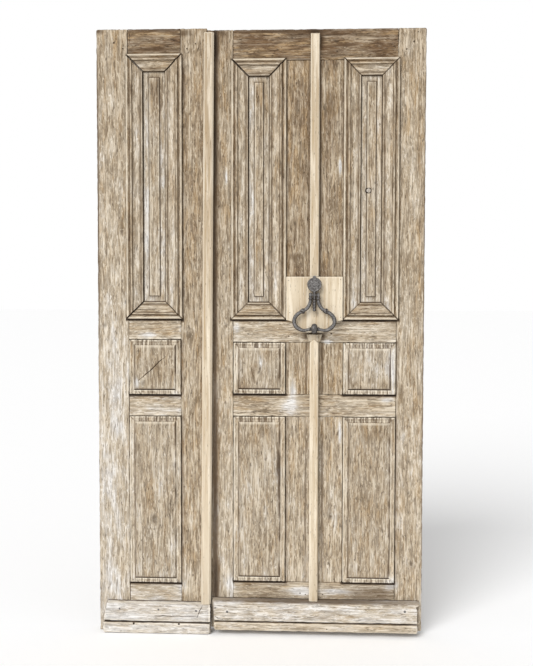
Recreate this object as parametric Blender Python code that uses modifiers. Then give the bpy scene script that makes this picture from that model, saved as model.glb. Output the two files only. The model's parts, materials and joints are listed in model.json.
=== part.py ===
"""A pair of panelled oak entrance-door leaves with a forged knocker, in metres, +Z up.

The leaves stand in the XZ plane and are seen from -Y. The origin is on the outer hanging edge of the
narrow left leaf, at the middle of its height and of its thickness.
"""
import math

import bmesh
import bpy
from mathutils import Matrix, Vector

# The two leaves
LEAF_THICKNESS = 0.045
LEFT_LEAF_WIDTH = 0.4265
LEFT_LEAF_HEIGHT = 2.336
RIGHT_LEAF_WIDTH = 0.8295
RIGHT_LEAF_HEIGHT = 2.311
RIGHT_FOOT_RISE = 0.018
MEETING_GAP = 0.003

# Stiles and panel openings, across the leaf: the muntins take what is left
LEFT_HANGING_STILE_WIDTH = 0.121
LEFT_MEETING_STILE_WIDTH = 0.1025
RIGHT_MEETING_STILE_WIDTH = 0.0975
RIGHT_HANGING_STILE_WIDTH = 0.106
RIGHT_UPPER_OPENING_WIDTH = 0.197
RIGHT_LOWER_OPENING_WIDTH = 0.2025

# Rails and the two lower panel rows, up the leaf: the upper panels take what is left
LEFT_TOP_RAIL = 0.102
LEFT_LOCK_RAIL = 0.088
LEFT_SMALL_OPENING = 0.215
LEFT_FRIEZE_RAIL = 0.083
LEFT_LOWER_OPENING = 0.658
LEFT_BOTTOM_RAIL = 0.192
RIGHT_TOP_RAIL = 0.117
RIGHT_LOCK_RAIL = 0.096
RIGHT_SMALL_OPENING = 0.201
RIGHT_FRIEZE_RAIL = 0.086
RIGHT_LOWER_OPENING = 0.648
RIGHT_BOTTOM_RAIL = 0.186

# Joints: every touching pair keeps the joint clearance
CLEARANCE = 0.0003
TENON_THICKNESS = 0.014
RAIL_TENON_LENGTH = 0.062
MUNTIN_TENON_LENGTH = 0.036
TENON_SHOULDER = 0.014
TONGUE_THICKNESS = 0.010
TONGUE_DEPTH = 0.010
TONGUE_BEHIND_FACE = 0.0115
PANEL_MARGIN = 0.0012
SQUARE_RISE_RUN = 0.0001
MERGE_DISTANCE = 0.00001

# Raised panels: heights are measured from the face of the frame, towards the viewer
RIM_HEIGHT = 0.0060
RIM_CHAMFER = 0.0010
BAND_WIDTH = 0.0190
HOLLOW_DEPTH = 0.0014
FIELD_STEP = 0.0030
FIELD_STEP_RUN = 0.0010
BORDER_DEPTH = 0.0050
BORDER_WIDTH = 0.0220
UPPER_FIELD_STEP = 0.0032
UPPER_FIELD_STEP_RUN = 0.0016

# Moulding planted round the upper panels: widths across it, heights above the frame
MOULDING_WIDTH = 0.066
MOULDING_LAP = 0.008
BEAD_HEIGHT = 0.0140
BEAD_WIDTH = 0.0120
SCOTIA_DEPTH = 0.0020
FILLET_START = 0.0185
FILLET_WIDTH = 0.0065
MOULDING_HEIGHT = 0.0170
QUIRK_DEPTH = 0.0045
COVE_RISE = 0.0080
INNER_FILLET_WIDTH = 0.0070
INNER_FILLET_HEIGHT = 0.0065
ARC_STEPS = 5

# Cover strip on the narrow leaf, which leans a little out of plumb
COVER_STRIP_WIDTH = 0.0385
COVER_STRIP_THICKNESS = 0.025
COVER_STRIP_CHAMFER = 0.0065
COVER_STRIP_TOP_GAP = 0.020
COVER_STRIP_FOOT_OVERHANG = 0.0135
COVER_STRIP_LEAN = 0.0155

# Newer strips and knocker board on the wide leaf
CENTRE_STRIP_WIDTH = 0.0345
CENTRE_STRIP_THICKNESS = 0.022
CENTRE_STRIP_CHAMFER = 0.003
CENTRE_STRIP_TOP_GAP = 0.015
CENTRE_STRIP_HIP = 0.009
CENTRE_STRIP_POINT = 0.015
BOARD_THICKNESS = 0.022
BOARD_ABOVE_LOCK_RAIL = 0.157
BOARD_SIDE_FOOT = 0.009
BOARD_SHIELD_DROP = 0.047
BOARD_SHIELD_FLAT = 0.033
HEAD_TOP_WIDTH = 0.061
HEAD_FOOT_WIDTH = 0.042
HEAD_HEIGHT = 0.027
HEAD_THICKNESS = 0.015
HEAD_GAP = 0.008
SHIELD_STEPS = 7
SHIELD_CURVE = 1.7

# Plinth boards and drip mouldings across the foot of each leaf
PLINTH_THICKNESS = 0.028
PLINTH_HEIGHT = 0.122
PLINTH_TOP_FALL = 0.0085
LEFT_PLINTH_TOP_INSET = 0.034
LEFT_PLINTH_FOOT_INSET = 0.018
LEFT_PLINTH_OVERHANG = 0.0135
LEFT_DRIP_HEIGHT = 0.045
RIGHT_DRIP_HEIGHT = 0.035
RIGHT_PLINTH_TOP_INSET = 0.0150
RIGHT_PLINTH_FOOT_INSET = 0.0255
RIGHT_PLINTH_LIP_INSET = 0.0095
RIGHT_PLINTH_END_INSET = 0.0185
RIGHT_PLINTH_LIP_HEIGHT = 0.012
RIGHT_PLINTH_BREAK = 0.024
DRIP_PROJECTION = 0.040
DRIP_ROUND = 0.007
LEFT_DRIP_INSET = 0.018
RIGHT_DRIP_LEFT_INSET = 0.0235
RIGHT_DRIP_RIGHT_INSET = 0.016

# Knocker: places are measured from the knocker board and from the pivot
ROSETTE_RADIUS = 0.028
ROSETTE_THICKNESS = 0.008
ROSETTE_RIM = 0.004
ROSETTE_SINK = 0.0015
ROSETTE_BELOW_BOARD_TOP = 0.030
ROSETTE_LUG_RADIUS = 0.0065
SHANK_RADIUS = 0.012
PIVOT_BELOW_ROSETTE = 0.040
PIVOT_RADIUS = 0.004
PIVOT_CLEARANCE = 0.0005
PIVOT_END_SINK = 0.001
STEM_RADIUS = 0.0058
PENDANT_LENGTH = 0.063
PENDANT_BEADS = 4
BEAD_RADIUS = 0.0074
BEAD_NECK_RADIUS = 0.0050
BEAD_SHOULDER = 0.8
BEAD_SHOULDER_HEIGHT = 0.2
EYE_RADIUS = 0.0085
EYE_HALF_WIDTH = 0.0062
EYE_CHAMFER = 0.002
DROP_ARM_OFFSET = 0.0148
DROP_HALF_WIDTH = 0.077
DROP_LENGTH = 0.134
ROD_RADIUS = 0.0071
ROD_SIDE_RADIUS = 0.0077
ROD_FOOT_RADIUS = 0.0063
KNOB_RADIUS = 0.0106
COLLAR_RADIUS = 0.0085
COLLAR_THICKNESS = 0.0045
COLLAR_EDGE = 0.8
BALL_RADIUS = 0.0205
BALL_HALF_WIDTH = 0.0115
BALL_FULLNESS = 0.67
TURNED_SIDES = 16
ROSETTE_SIDES = 24
KNOB_STEPS = 6
BALL_STEPS = 8

# Places along the drop, as shares of its half width across and of its length below the pivot
ARM_COLLAR_BELOW = 0.095
KNOB_ACROSS = 0.57
KNOB_BELOW = 0.452
BALL_BELOW = 0.96

# Derived places shared by several pieces
FACE = -LEAF_THICKNESS / 2
LEFT_FOOT = -LEFT_LEAF_HEIGHT / 2
RIGHT_FOOT = LEFT_FOOT + RIGHT_FOOT_RISE
RIGHT_START = LEFT_LEAF_WIDTH + MEETING_GAP
RIGHT_END = RIGHT_START + RIGHT_LEAF_WIDTH
RIGHT_INNER_LOW = RIGHT_START + RIGHT_MEETING_STILE_WIDTH
RIGHT_INNER_HIGH = RIGHT_END - RIGHT_HANGING_STILE_WIDTH
RIGHT_MIDDLE = (RIGHT_INNER_LOW + RIGHT_INNER_HIGH) / 2
UPPER_MUNTIN_WIDTH = RIGHT_INNER_HIGH - RIGHT_INNER_LOW - 2 * RIGHT_UPPER_OPENING_WIDTH
LOWER_MUNTIN_WIDTH = RIGHT_INNER_HIGH - RIGHT_INNER_LOW - 2 * RIGHT_LOWER_OPENING_WIDTH
RIGHT_UPPER_LOW = RIGHT_FOOT + RIGHT_BOTTOM_RAIL + RIGHT_LOWER_OPENING + RIGHT_FRIEZE_RAIL \
    + RIGHT_SMALL_OPENING + RIGHT_LOCK_RAIL
TONGUE_FRONT = FACE + TONGUE_BEHIND_FACE
PANEL_BACK = TONGUE_FRONT + TONGUE_THICKNESS
PIVOT_HALF_LENGTH = DROP_ARM_OFFSET + EYE_HALF_WIDTH - PIVOT_END_SINK


def new_collection(name):
    """Make a collection under the scene's own."""
    collection = bpy.data.collections.new(name)
    bpy.context.scene.collection.children.link(collection)
    return collection


def new_material(name, colour, roughness, metallic=0.0):
    """Make a plain Principled material."""
    material = bpy.data.materials.new(name)
    material.use_nodes = True
    shader = material.node_tree.nodes["Principled BSDF"]
    shader.inputs["Base Color"].default_value = (*colour, 1.0)
    shader.inputs["Roughness"].default_value = roughness
    shader.inputs["Metallic"].default_value = metallic
    return material


def object_from_bmesh(bm, name, collection, material=None):
    """Turn a bmesh into an object whose origin is the middle of its box."""
    corners = [vertex.co.copy() for vertex in bm.verts]
    low = Vector([min(corner[axis] for corner in corners) for axis in range(3)])
    high = Vector([max(corner[axis] for corner in corners) for axis in range(3)])
    centre = (low + high) / 2
    bmesh.ops.translate(bm, verts=bm.verts, vec=-centre)
    bmesh.ops.recalc_face_normals(bm, faces=bm.faces)
    mesh = bpy.data.meshes.new(name)
    bm.to_mesh(mesh)
    bm.free()
    if material:
        mesh.materials.append(material)
    obj = bpy.data.objects.new(name, mesh)
    obj.location = centre
    collection.objects.link(obj)
    return obj


def block_bmesh(low, high):
    """A box between two corners, from the cube primitive."""
    bm = bmesh.new()
    bmesh.ops.create_cube(bm, size=1.0)
    size = Vector(high) - Vector(low)
    centre = (Vector(high) + Vector(low)) / 2
    bmesh.ops.scale(bm, verts=bm.verts, vec=size)
    bmesh.ops.translate(bm, verts=bm.verts, vec=centre)
    return bm


def add_block(name, low, high, material):
    """A finished box-shaped piece."""
    return object_from_bmesh(block_bmesh(low, high), name, PIECES, material)


def add_helper(obj):
    """Hide a guide solid that only cuts or joins other pieces."""
    obj.hide_render = True
    obj.display_type = 'WIRE'
    return obj


def helper_block(name, low, high):
    """A box that cuts or joins."""
    return add_helper(object_from_bmesh(block_bmesh(low, high), name, HELPERS))


def combine(obj, other, operation):
    """Add one Boolean to a piece."""
    modifier = obj.modifiers.new(f"{operation.lower()} {other.name}", 'BOOLEAN')
    modifier.operation = operation
    modifier.solver = 'EXACT'
    modifier.object = other


def grown(low, high, margin):
    """Corners of a box made larger all round."""
    return [value - margin for value in low], [value + margin for value in high]


def arc(centre, radius, start, end, steps=ARC_STEPS):
    """Points along an arc, in degrees, both ends included."""
    angles = [math.radians(start + (end - start) * step / steps) for step in range(steps + 1)]
    return [(centre[0] + radius * math.cos(a), centre[1] + radius * math.sin(a)) for a in angles]


def run_bar(outline, place, start, end):
    """Run a flat outline along a line.

    start and end give how far along the line each outline point begins and stops, so mitres and
    scribed ends come from the same outline. place turns an outline point and a distance into a point.
    """
    bm = bmesh.new()
    first = [bm.verts.new(place(a, b, start(a, b))) for a, b in outline]
    face = bm.faces.new(first)
    grown_part = bmesh.ops.extrude_face_region(bm, geom=[face], use_keep_orig=True)
    last = [item for item in grown_part["geom"] if isinstance(item, bmesh.types.BMVert)]
    for vertex in last:
        original = min(range(len(outline)), key=lambda index: (first[index].co - vertex.co).length)
        a, b = outline[original]
        vertex.co = place(a, b, end(a, b))
    return bm


def plate_bmesh(outline, front, back):
    """A flat plate from an outline in X and Z."""
    return run_bar(outline, lambda x, z, y: Vector((x, y, z)), lambda x, z: front, lambda x, z: back)


class Member:
    """One stile, rail or muntin, with the box of its tenon bar when it has tenons."""

    def __init__(self, name, low_x, high_x, low_z, high_z, material):
        low = (low_x, -LEAF_THICKNESS / 2, low_z)
        high = (high_x, LEAF_THICKNESS / 2, high_z)
        self.name = name
        self.obj = add_block(name, low, high, material)

    def tenon(self, axis, low, high, length):
        """Join a tenon bar that runs past both ends, and give back the box that mortises it."""
        start, end = list(low), list(high)
        start[axis] -= length
        end[axis] += length
        across = 2 - axis
        start[across] += TENON_SHOULDER
        end[across] -= TENON_SHOULDER
        start[1], end[1] = -TENON_THICKNESS / 2, TENON_THICKNESS / 2
        combine(self.obj, helper_block(f"tenon {self.name}", start, end), 'UNION')
        return helper_block(f"mortise {self.name}", *grown(start, end, CLEARANCE))


def make_rail(name, low_x, high_x, low_z, high_z, stiles):
    """A rail between two stiles, tenoned into both."""
    low = (low_x + CLEARANCE, 0.0, low_z)
    high = (high_x - CLEARANCE, 0.0, high_z)
    rail = Member(name, low[0], high[0], low_z, high_z, OLD_OAK)
    mortise = rail.tenon(0, low, high, RAIL_TENON_LENGTH)
    for stile in stiles:
        combine(stile.obj, mortise, 'DIFFERENCE')
    return rail


def make_muntin(name, centre_x, width, low_z, high_z, rails):
    """A muntin between two rails, tenoned into both."""
    low = (centre_x - width / 2, 0.0, low_z + CLEARANCE)
    high = (centre_x + width / 2, 0.0, high_z - CLEARANCE)
    muntin = Member(name, low[0], high[0], low[2], high[2], OLD_OAK)
    mortise = muntin.tenon(2, low, high, MUNTIN_TENON_LENGTH)
    for rail in rails:
        combine(rail.obj, mortise, 'DIFFERENCE')
    return muntin


def make_panel(name, opening, steps, neighbours):
    """A panel whose tongue sits in the grooves of its neighbours.

    opening is (low_x, low_z, high_x, high_z). steps are (inset, rise) pairs that work the front from
    the tongue inwards.
    """
    low_x, low_z, high_x, high_z = opening
    low = (low_x - TONGUE_DEPTH, TONGUE_FRONT, low_z - TONGUE_DEPTH)
    high = (high_x + TONGUE_DEPTH, PANEL_BACK, high_z + TONGUE_DEPTH)
    bm = block_bmesh(low, high)
    bm.normal_update()
    front = min(bm.faces, key=lambda face: face.calc_center_median().y)
    for inset, rise in steps:
        bmesh.ops.inset_region(bm, faces=[front], thickness=inset, depth=rise, use_even_offset=True)
    panel = object_from_bmesh(bm, name, PIECES, OLD_OAK)
    groove = helper_block(f"groove {name}", *grown(low, high, CLEARANCE))
    for neighbour in neighbours:
        combine(neighbour.obj, groove, 'DIFFERENCE')
    return panel


def raised_panel_steps():
    """The proud rim, hollow band and raised field of a small or lower panel."""
    to_rim = TONGUE_BEHIND_FACE + RIM_HEIGHT - RIM_CHAMFER
    half_band = (BAND_WIDTH - RIM_CHAMFER) / 2
    return [(TONGUE_DEPTH + PANEL_MARGIN, 0.0),
            (SQUARE_RISE_RUN, to_rim),
            (RIM_CHAMFER, RIM_CHAMFER),
            (half_band, -HOLLOW_DEPTH),
            (half_band, HOLLOW_DEPTH / 2),
            (FIELD_STEP_RUN, FIELD_STEP)]


def bordered_panel_steps():
    """The flat border and raised field of an upper panel, inside its planted moulding."""
    to_border = TONGUE_BEHIND_FACE - BORDER_DEPTH
    hidden = MOULDING_WIDTH - MOULDING_LAP - PANEL_MARGIN
    return [(TONGUE_DEPTH + PANEL_MARGIN, 0.0),
            (SQUARE_RISE_RUN, to_border),
            (hidden + BORDER_WIDTH, 0.0),
            (UPPER_FIELD_STEP_RUN, UPPER_FIELD_STEP)]


def moulding_outline():
    """Cross-section of the planted moulding: distance in from its outer edge, height above the frame."""
    bead_radius = BEAD_WIDTH / 2
    bead = arc((bead_radius, BEAD_HEIGHT - bead_radius), bead_radius, 180, 20)
    scotia_start = bead[-1]
    scotia = [((scotia_start[0] + FILLET_START) / 2, scotia_start[1] - SCOTIA_DEPTH)]
    fillet_end = FILLET_START + FILLET_WIDTH
    fillet = [(FILLET_START, scotia_start[1]),
              (FILLET_START + CLEARANCE, MOULDING_HEIGHT),
              (fillet_end, MOULDING_HEIGHT)]
    cove_top = MOULDING_HEIGHT - QUIRK_DEPTH
    cove_end = MOULDING_WIDTH - INNER_FILLET_WIDTH
    cove_start = fillet_end + QUIRK_DEPTH / 2
    cove_run = cove_end - cove_start
    cove = [(cove_end - cove_run * math.cos(turn), cove_top - COVE_RISE * math.sin(turn))
            for turn in [math.pi / 2 * step / ARC_STEPS for step in range(ARC_STEPS + 1)]]
    inner = [(cove_end + CLEARANCE, INNER_FILLET_HEIGHT),
             (MOULDING_WIDTH - INNER_FILLET_WIDTH / 4, INNER_FILLET_HEIGHT),
             (MOULDING_WIDTH, INNER_FILLET_HEIGHT - INNER_FILLET_WIDTH / 4)]
    seat = CLEARANCE - BORDER_DEPTH
    lap = MOULDING_LAP + CLEARANCE
    under = [(MOULDING_WIDTH, seat), (lap, seat), (lap, CLEARANCE), (0.0, CLEARANCE)]
    return bead + scotia + fillet + cove + inner + under


def make_moulding(prefix, opening):
    """Four mitred lengths of moulding round one upper opening."""
    low_x, low_z = opening[0] - MOULDING_LAP, opening[1] - MOULDING_LAP
    high_x, high_z = opening[2] + MOULDING_LAP, opening[3] + MOULDING_LAP
    outline = moulding_outline()
    width, height = high_x - low_x, high_z - low_z
    sides = {
        "top": (width, lambda a, h, s: Vector((low_x + s, FACE - h, high_z - a))),
        "bottom": (width, lambda a, h, s: Vector((low_x + s, FACE - h, low_z + a))),
        "left": (height, lambda a, h, s: Vector((low_x + a, FACE - h, low_z + s))),
        "right": (height, lambda a, h, s: Vector((high_x - a, FACE - h, low_z + s))),
    }
    for side, (length, place) in sides.items():
        bm = run_bar(outline, place,
                     lambda a, h: a + CLEARANCE,
                     lambda a, h, span=length: span - a - CLEARANCE)
        object_from_bmesh(bm, f"{prefix}_moulding_{side}", PIECES, OLD_OAK)


def make_left_leaf():
    """The narrow leaf: one column of three panels."""
    foot = LEFT_FOOT
    top = foot + LEFT_LEAF_HEIGHT
    inner_low = LEFT_HANGING_STILE_WIDTH
    inner_high = LEFT_LEAF_WIDTH - LEFT_MEETING_STILE_WIDTH
    hanging = Member("left_hanging_stile", 0.0, inner_low, foot, top, OLD_OAK)
    meeting = Member("left_meeting_stile", inner_high, LEFT_LEAF_WIDTH, foot, top, OLD_OAK)
    stiles = [hanging, meeting]

    lower_low = foot + LEFT_BOTTOM_RAIL
    lower_high = lower_low + LEFT_LOWER_OPENING
    small_low = lower_high + LEFT_FRIEZE_RAIL
    small_high = small_low + LEFT_SMALL_OPENING
    upper_low = small_high + LEFT_LOCK_RAIL
    upper_high = top - LEFT_TOP_RAIL
    bottom = make_rail("left_bottom_rail", inner_low, inner_high, foot, lower_low, stiles)
    frieze = make_rail("left_frieze_rail", inner_low, inner_high, lower_high, small_low, stiles)
    lock = make_rail("left_lock_rail", inner_low, inner_high, small_high, upper_low, stiles)
    head = make_rail("left_top_rail", inner_low, inner_high, upper_high, top, stiles)

    upper = (inner_low, upper_low, inner_high, upper_high)
    make_panel("left_upper_panel", upper, bordered_panel_steps(), [*stiles, lock, head])
    make_panel("left_small_panel", (inner_low, small_low, inner_high, small_high),
               raised_panel_steps(), [*stiles, frieze, lock])
    make_panel("left_lower_panel", (inner_low, lower_low, inner_high, lower_high),
               raised_panel_steps(), [*stiles, bottom, frieze])
    make_moulding("left", upper)


def make_right_leaf():
    """The wide leaf: two columns of three panels with muntins between them."""
    foot = RIGHT_FOOT
    top = foot + RIGHT_LEAF_HEIGHT
    inner_low = RIGHT_INNER_LOW
    inner_high = RIGHT_INNER_HIGH
    middle = RIGHT_MIDDLE
    meeting = Member("right_meeting_stile", RIGHT_START, inner_low, foot, top, OLD_OAK)
    hanging = Member("right_hanging_stile", inner_high, RIGHT_END, foot, top, OLD_OAK)
    stiles = [meeting, hanging]

    lower_low = foot + RIGHT_BOTTOM_RAIL
    lower_high = lower_low + RIGHT_LOWER_OPENING
    small_low = lower_high + RIGHT_FRIEZE_RAIL
    small_high = small_low + RIGHT_SMALL_OPENING
    upper_low = RIGHT_UPPER_LOW
    upper_high = top - RIGHT_TOP_RAIL
    bottom = make_rail("right_bottom_rail", inner_low, inner_high, foot, lower_low, stiles)
    frieze = make_rail("right_frieze_rail", inner_low, inner_high, lower_high, small_low, stiles)
    lock = make_rail("right_lock_rail", inner_low, inner_high, small_high, upper_low, stiles)
    head = make_rail("right_top_rail", inner_low, inner_high, upper_high, top, stiles)

    rows = [
        ("lower", lower_low, lower_high, LOWER_MUNTIN_WIDTH, "lower", [bottom, frieze]),
        ("small", small_low, small_high, LOWER_MUNTIN_WIDTH, "middle", [frieze, lock]),
        ("upper", upper_low, upper_high, UPPER_MUNTIN_WIDTH, "upper", [lock, head]),
    ]
    for row, low_z, high_z, muntin_width, muntin_name, rails in rows:
        muntin = make_muntin(f"right_{muntin_name}_muntin", middle, muntin_width, low_z, high_z, rails)
        near = (inner_low, low_z, middle - muntin_width / 2, high_z)
        far = (middle + muntin_width / 2, low_z, inner_high, high_z)
        steps = bordered_panel_steps() if row == "upper" else raised_panel_steps()
        make_panel(f"right_near_{row}_panel", near, steps, [meeting, muntin, *rails])
        make_panel(f"right_far_{row}_panel", far, steps, [muntin, hanging, *rails])
        if row == "upper":
            make_moulding("right_near", near)
            make_moulding("right_far", far)


def plinth_top(depth):
    """Height above the foot of a plinth board's sloping top, at a depth in front of the frame."""
    return PLINTH_HEIGHT - PLINTH_TOP_FALL * depth / PLINTH_THICKNESS


def strip_outline(width, thickness, chamfer):
    """Cross-section of a strip: distance across it, height above the frame."""
    half = width / 2
    return [(-half, CLEARANCE), (0.0, CLEARANCE), (half, CLEARANCE), (half, thickness - chamfer),
            (half - chamfer, thickness), (0.0, thickness), (chamfer - half, thickness),
            (-half, thickness - chamfer)]


def make_cover_strip():
    """The strip over the meeting joint, fixed to the narrow leaf and scribed to its plinth board."""
    top = LEFT_FOOT + LEFT_LEAF_HEIGHT - COVER_STRIP_TOP_GAP
    foot_centre = LEFT_LEAF_WIDTH + COVER_STRIP_FOOT_OVERHANG - COVER_STRIP_WIDTH / 2
    lean = COVER_STRIP_LEAN / LEFT_LEAF_HEIGHT

    def place(across, height, z):
        return Vector((foot_centre + across + lean * (z - LEFT_FOOT), FACE - height, z))

    outline = strip_outline(COVER_STRIP_WIDTH, COVER_STRIP_THICKNESS, COVER_STRIP_CHAMFER)
    bm = run_bar(outline, place,
                 lambda across, height: LEFT_FOOT + plinth_top(height) + CLEARANCE,
                 lambda across, height: top)
    object_from_bmesh(bm, "left_cover_strip", PIECES, OLD_OAK)


def board_places():
    """Where the knocker board sits: its middle, side, top, corner and lowest edge."""
    corner = RIGHT_UPPER_LOW - BOARD_SIDE_FOOT
    return {"middle": RIGHT_MIDDLE,
            "half": UPPER_MUNTIN_WIDTH / 2 - MOULDING_LAP - CLEARANCE,
            "top": RIGHT_UPPER_LOW + BOARD_ABOVE_LOCK_RAIL,
            "corner": corner,
            "foot": corner - BOARD_SHIELD_DROP}


def make_knocker_board():
    """The pale board behind the knocker, its lower edge swept down like a shield."""
    place = board_places()
    middle, half = place["middle"], place["half"]
    sweep = []
    for step in range(SHIELD_STEPS + 1):
        turn = step / SHIELD_STEPS
        across = half + (BOARD_SHIELD_FLAT - half) * turn
        sweep.append((across, place["corner"] - BOARD_SHIELD_DROP * turn ** SHIELD_CURVE))
    right = [(middle + across, z) for across, z in sweep]
    left = [(middle - across, z) for across, z in reversed(sweep)]
    outline = [(middle + half, place["top"]), *right, *left, (middle - half, place["top"])]
    bm = plate_bmesh(outline, FACE - CLEARANCE, FACE - BOARD_THICKNESS)
    object_from_bmesh(bm, "knocker_board", PIECES, NEW_OAK)


def make_centre_strips():
    """The newer strips down the middle of the wide leaf, above and below the knocker board."""
    place_of = board_places()
    middle = place_of["middle"]
    outline = strip_outline(CENTRE_STRIP_WIDTH, CENTRE_STRIP_THICKNESS, CENTRE_STRIP_CHAMFER)
    top = RIGHT_FOOT + RIGHT_LEAF_HEIGHT - CENTRE_STRIP_TOP_GAP
    hip = CENTRE_STRIP_HIP / CENTRE_STRIP_THICKNESS
    point = CENTRE_STRIP_POINT / (CENTRE_STRIP_WIDTH / 2)

    def place(across, height, z):
        return Vector((middle + across, FACE - height, z))

    upper = run_bar(outline, place,
                    lambda across, height: place_of["top"] + CLEARANCE,
                    lambda across, height: top - hip * height)
    object_from_bmesh(upper, "centre_strip_upper", PIECES, NEW_OAK)

    head_top = place_of["foot"] - HEAD_GAP
    head_foot = head_top - HEAD_HEIGHT
    peak = head_foot + CENTRE_STRIP_HIP + CENTRE_STRIP_POINT / 2
    lower = run_bar(outline, place,
                    lambda across, height: RIGHT_FOOT + plinth_top(height) + CLEARANCE,
                    lambda across, height: peak - hip * height - point * abs(across))
    strip = object_from_bmesh(lower, "centre_strip_lower", PIECES, NEW_OAK)
    head_outline = [(middle - HEAD_TOP_WIDTH / 2, head_top), (middle + HEAD_TOP_WIDTH / 2, head_top),
                    (middle + HEAD_FOOT_WIDTH / 2, head_foot), (middle - HEAD_FOOT_WIDTH / 2, head_foot)]
    head = plate_bmesh(head_outline, FACE - CLEARANCE, FACE - HEAD_THICKNESS)
    combine(strip, add_helper(object_from_bmesh(head, "strip head", HELPERS)), 'UNION')


def make_plinth(name, outline, foot):
    """A plinth board from its front outline, with the sloping top cut off by a wedge."""
    bm = plate_bmesh(outline, FACE - CLEARANCE, FACE - PLINTH_THICKNESS)
    board = object_from_bmesh(bm, name, PIECES, PALE_OAK)
    low_x = min(x for x, z in outline) - PLINTH_HEIGHT
    high_x = max(x for x, z in outline) + PLINTH_HEIGHT
    above = foot + 2 * PLINTH_HEIGHT
    reach = 2 * PLINTH_THICKNESS
    wedge = run_bar([(-reach, above), (reach, above), (reach, foot + plinth_top(reach)),
                     (-reach, foot + plinth_top(-reach))],
                    lambda depth, z, x: Vector((x, FACE - depth, z)),
                    lambda depth, z: low_x, lambda depth, z: high_x)
    combine(board, add_helper(object_from_bmesh(wedge, f"slope {name}", HELPERS)), 'DIFFERENCE')


def make_drip(name, low_x, high_x, foot, height):
    """A drip moulding under a plinth board, with rounded edges."""
    drip = add_block(name, (low_x, FACE - DRIP_PROJECTION, foot), (high_x, FACE - CLEARANCE, foot + height),
                     PALE_OAK)
    rounding = drip.modifiers.new("rounded edges", 'BEVEL')
    rounding.width = DRIP_ROUND
    rounding.segments = 2


def make_feet():
    """Plinth boards and drip mouldings of both leaves."""
    low = LEFT_FOOT + LEFT_DRIP_HEIGHT + CLEARANCE
    high = LEFT_FOOT + PLINTH_HEIGHT
    end = LEFT_LEAF_WIDTH + LEFT_PLINTH_OVERHANG
    make_plinth("left_plinth_board",
                [(LEFT_PLINTH_FOOT_INSET, low), (end, low), (end, high), (LEFT_PLINTH_TOP_INSET, high)],
                LEFT_FOOT)
    make_drip("left_drip_moulding", LEFT_DRIP_INSET, end, LEFT_FOOT, LEFT_DRIP_HEIGHT)

    low = RIGHT_FOOT + RIGHT_DRIP_HEIGHT + CLEARANCE
    high = RIGHT_FOOT + PLINTH_HEIGHT
    lip = high - PLINTH_TOP_FALL - RIGHT_PLINTH_LIP_HEIGHT
    make_plinth("right_plinth_board",
                [(RIGHT_START + RIGHT_PLINTH_FOOT_INSET, low),
                 (RIGHT_END - RIGHT_PLINTH_END_INSET, low),
                 (RIGHT_END - RIGHT_PLINTH_END_INSET, lip - RIGHT_PLINTH_LIP_HEIGHT),
                 (RIGHT_END - RIGHT_PLINTH_BREAK, lip),
                 (RIGHT_END - RIGHT_PLINTH_LIP_INSET, lip + RIGHT_PLINTH_LIP_HEIGHT / 2),
                 (RIGHT_END - RIGHT_PLINTH_LIP_INSET, high),
                 (RIGHT_START + RIGHT_PLINTH_TOP_INSET, high)],
                RIGHT_FOOT)
    make_drip("right_drip_moulding", RIGHT_START + RIGHT_DRIP_LEFT_INSET,
              RIGHT_END - RIGHT_DRIP_RIGHT_INSET, RIGHT_FOOT, RIGHT_DRIP_HEIGHT)


def knocker_places():
    """Centres of the rosette and of the pivot."""
    place = board_places()
    board_face = FACE - BOARD_THICKNESS
    rosette = Vector((place["middle"], board_face, place["top"] - ROSETTE_BELOW_BOARD_TOP))
    pivot = Vector((place["middle"], board_face - BALL_RADIUS - CLEARANCE,
                    rosette.z - PIVOT_BELOW_ROSETTE))
    return rosette, pivot


def turned(name, profile, centre, axis, sides=TURNED_SIDES):
    """A turned solid from (radius, height) points, lowest first, about an axis through centre."""
    bm = bmesh.new()
    points = [bm.verts.new((radius, 0.0, height)) for radius, height in profile]
    for start, end in zip(points, points[1:]):
        bm.edges.new((start, end))
    bmesh.ops.spin(bm, geom=bm.verts[:] + bm.edges[:], cent=(0, 0, 0), axis=(0, 0, 1),
                   angle=math.tau, steps=sides, use_merge=True)
    bmesh.ops.remove_doubles(bm, verts=bm.verts, dist=MERGE_DISTANCE)
    turn = Vector((0, 0, 1)).rotation_difference(Vector(axis)).to_matrix().to_4x4()
    bmesh.ops.transform(bm, matrix=Matrix.Translation(centre) @ turn, verts=bm.verts)
    return add_helper(object_from_bmesh(bm, name, HELPERS))


def pendant_profile():
    """Radius and height of the pendant, from its tip up to the stem."""
    bead_height = (PENDANT_LENGTH - EYE_RADIUS * 2) / PENDANT_BEADS
    profile = [(0.0, -PENDANT_LENGTH)]
    for bead in range(PENDANT_BEADS):
        base = -PENDANT_LENGTH + bead * bead_height
        profile += [(BEAD_RADIUS * BEAD_SHOULDER, base + bead_height * BEAD_SHOULDER_HEIGHT),
                    (BEAD_RADIUS, base + bead_height / 2),
                    (BEAD_RADIUS * BEAD_SHOULDER, base + bead_height * (1 - BEAD_SHOULDER_HEIGHT)),
                    (BEAD_NECK_RADIUS, base + bead_height)]
    return profile + [(STEM_RADIUS, -EYE_RADIUS), (STEM_RADIUS, EYE_RADIUS * 2), (0.0, EYE_RADIUS * 2)]


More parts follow.
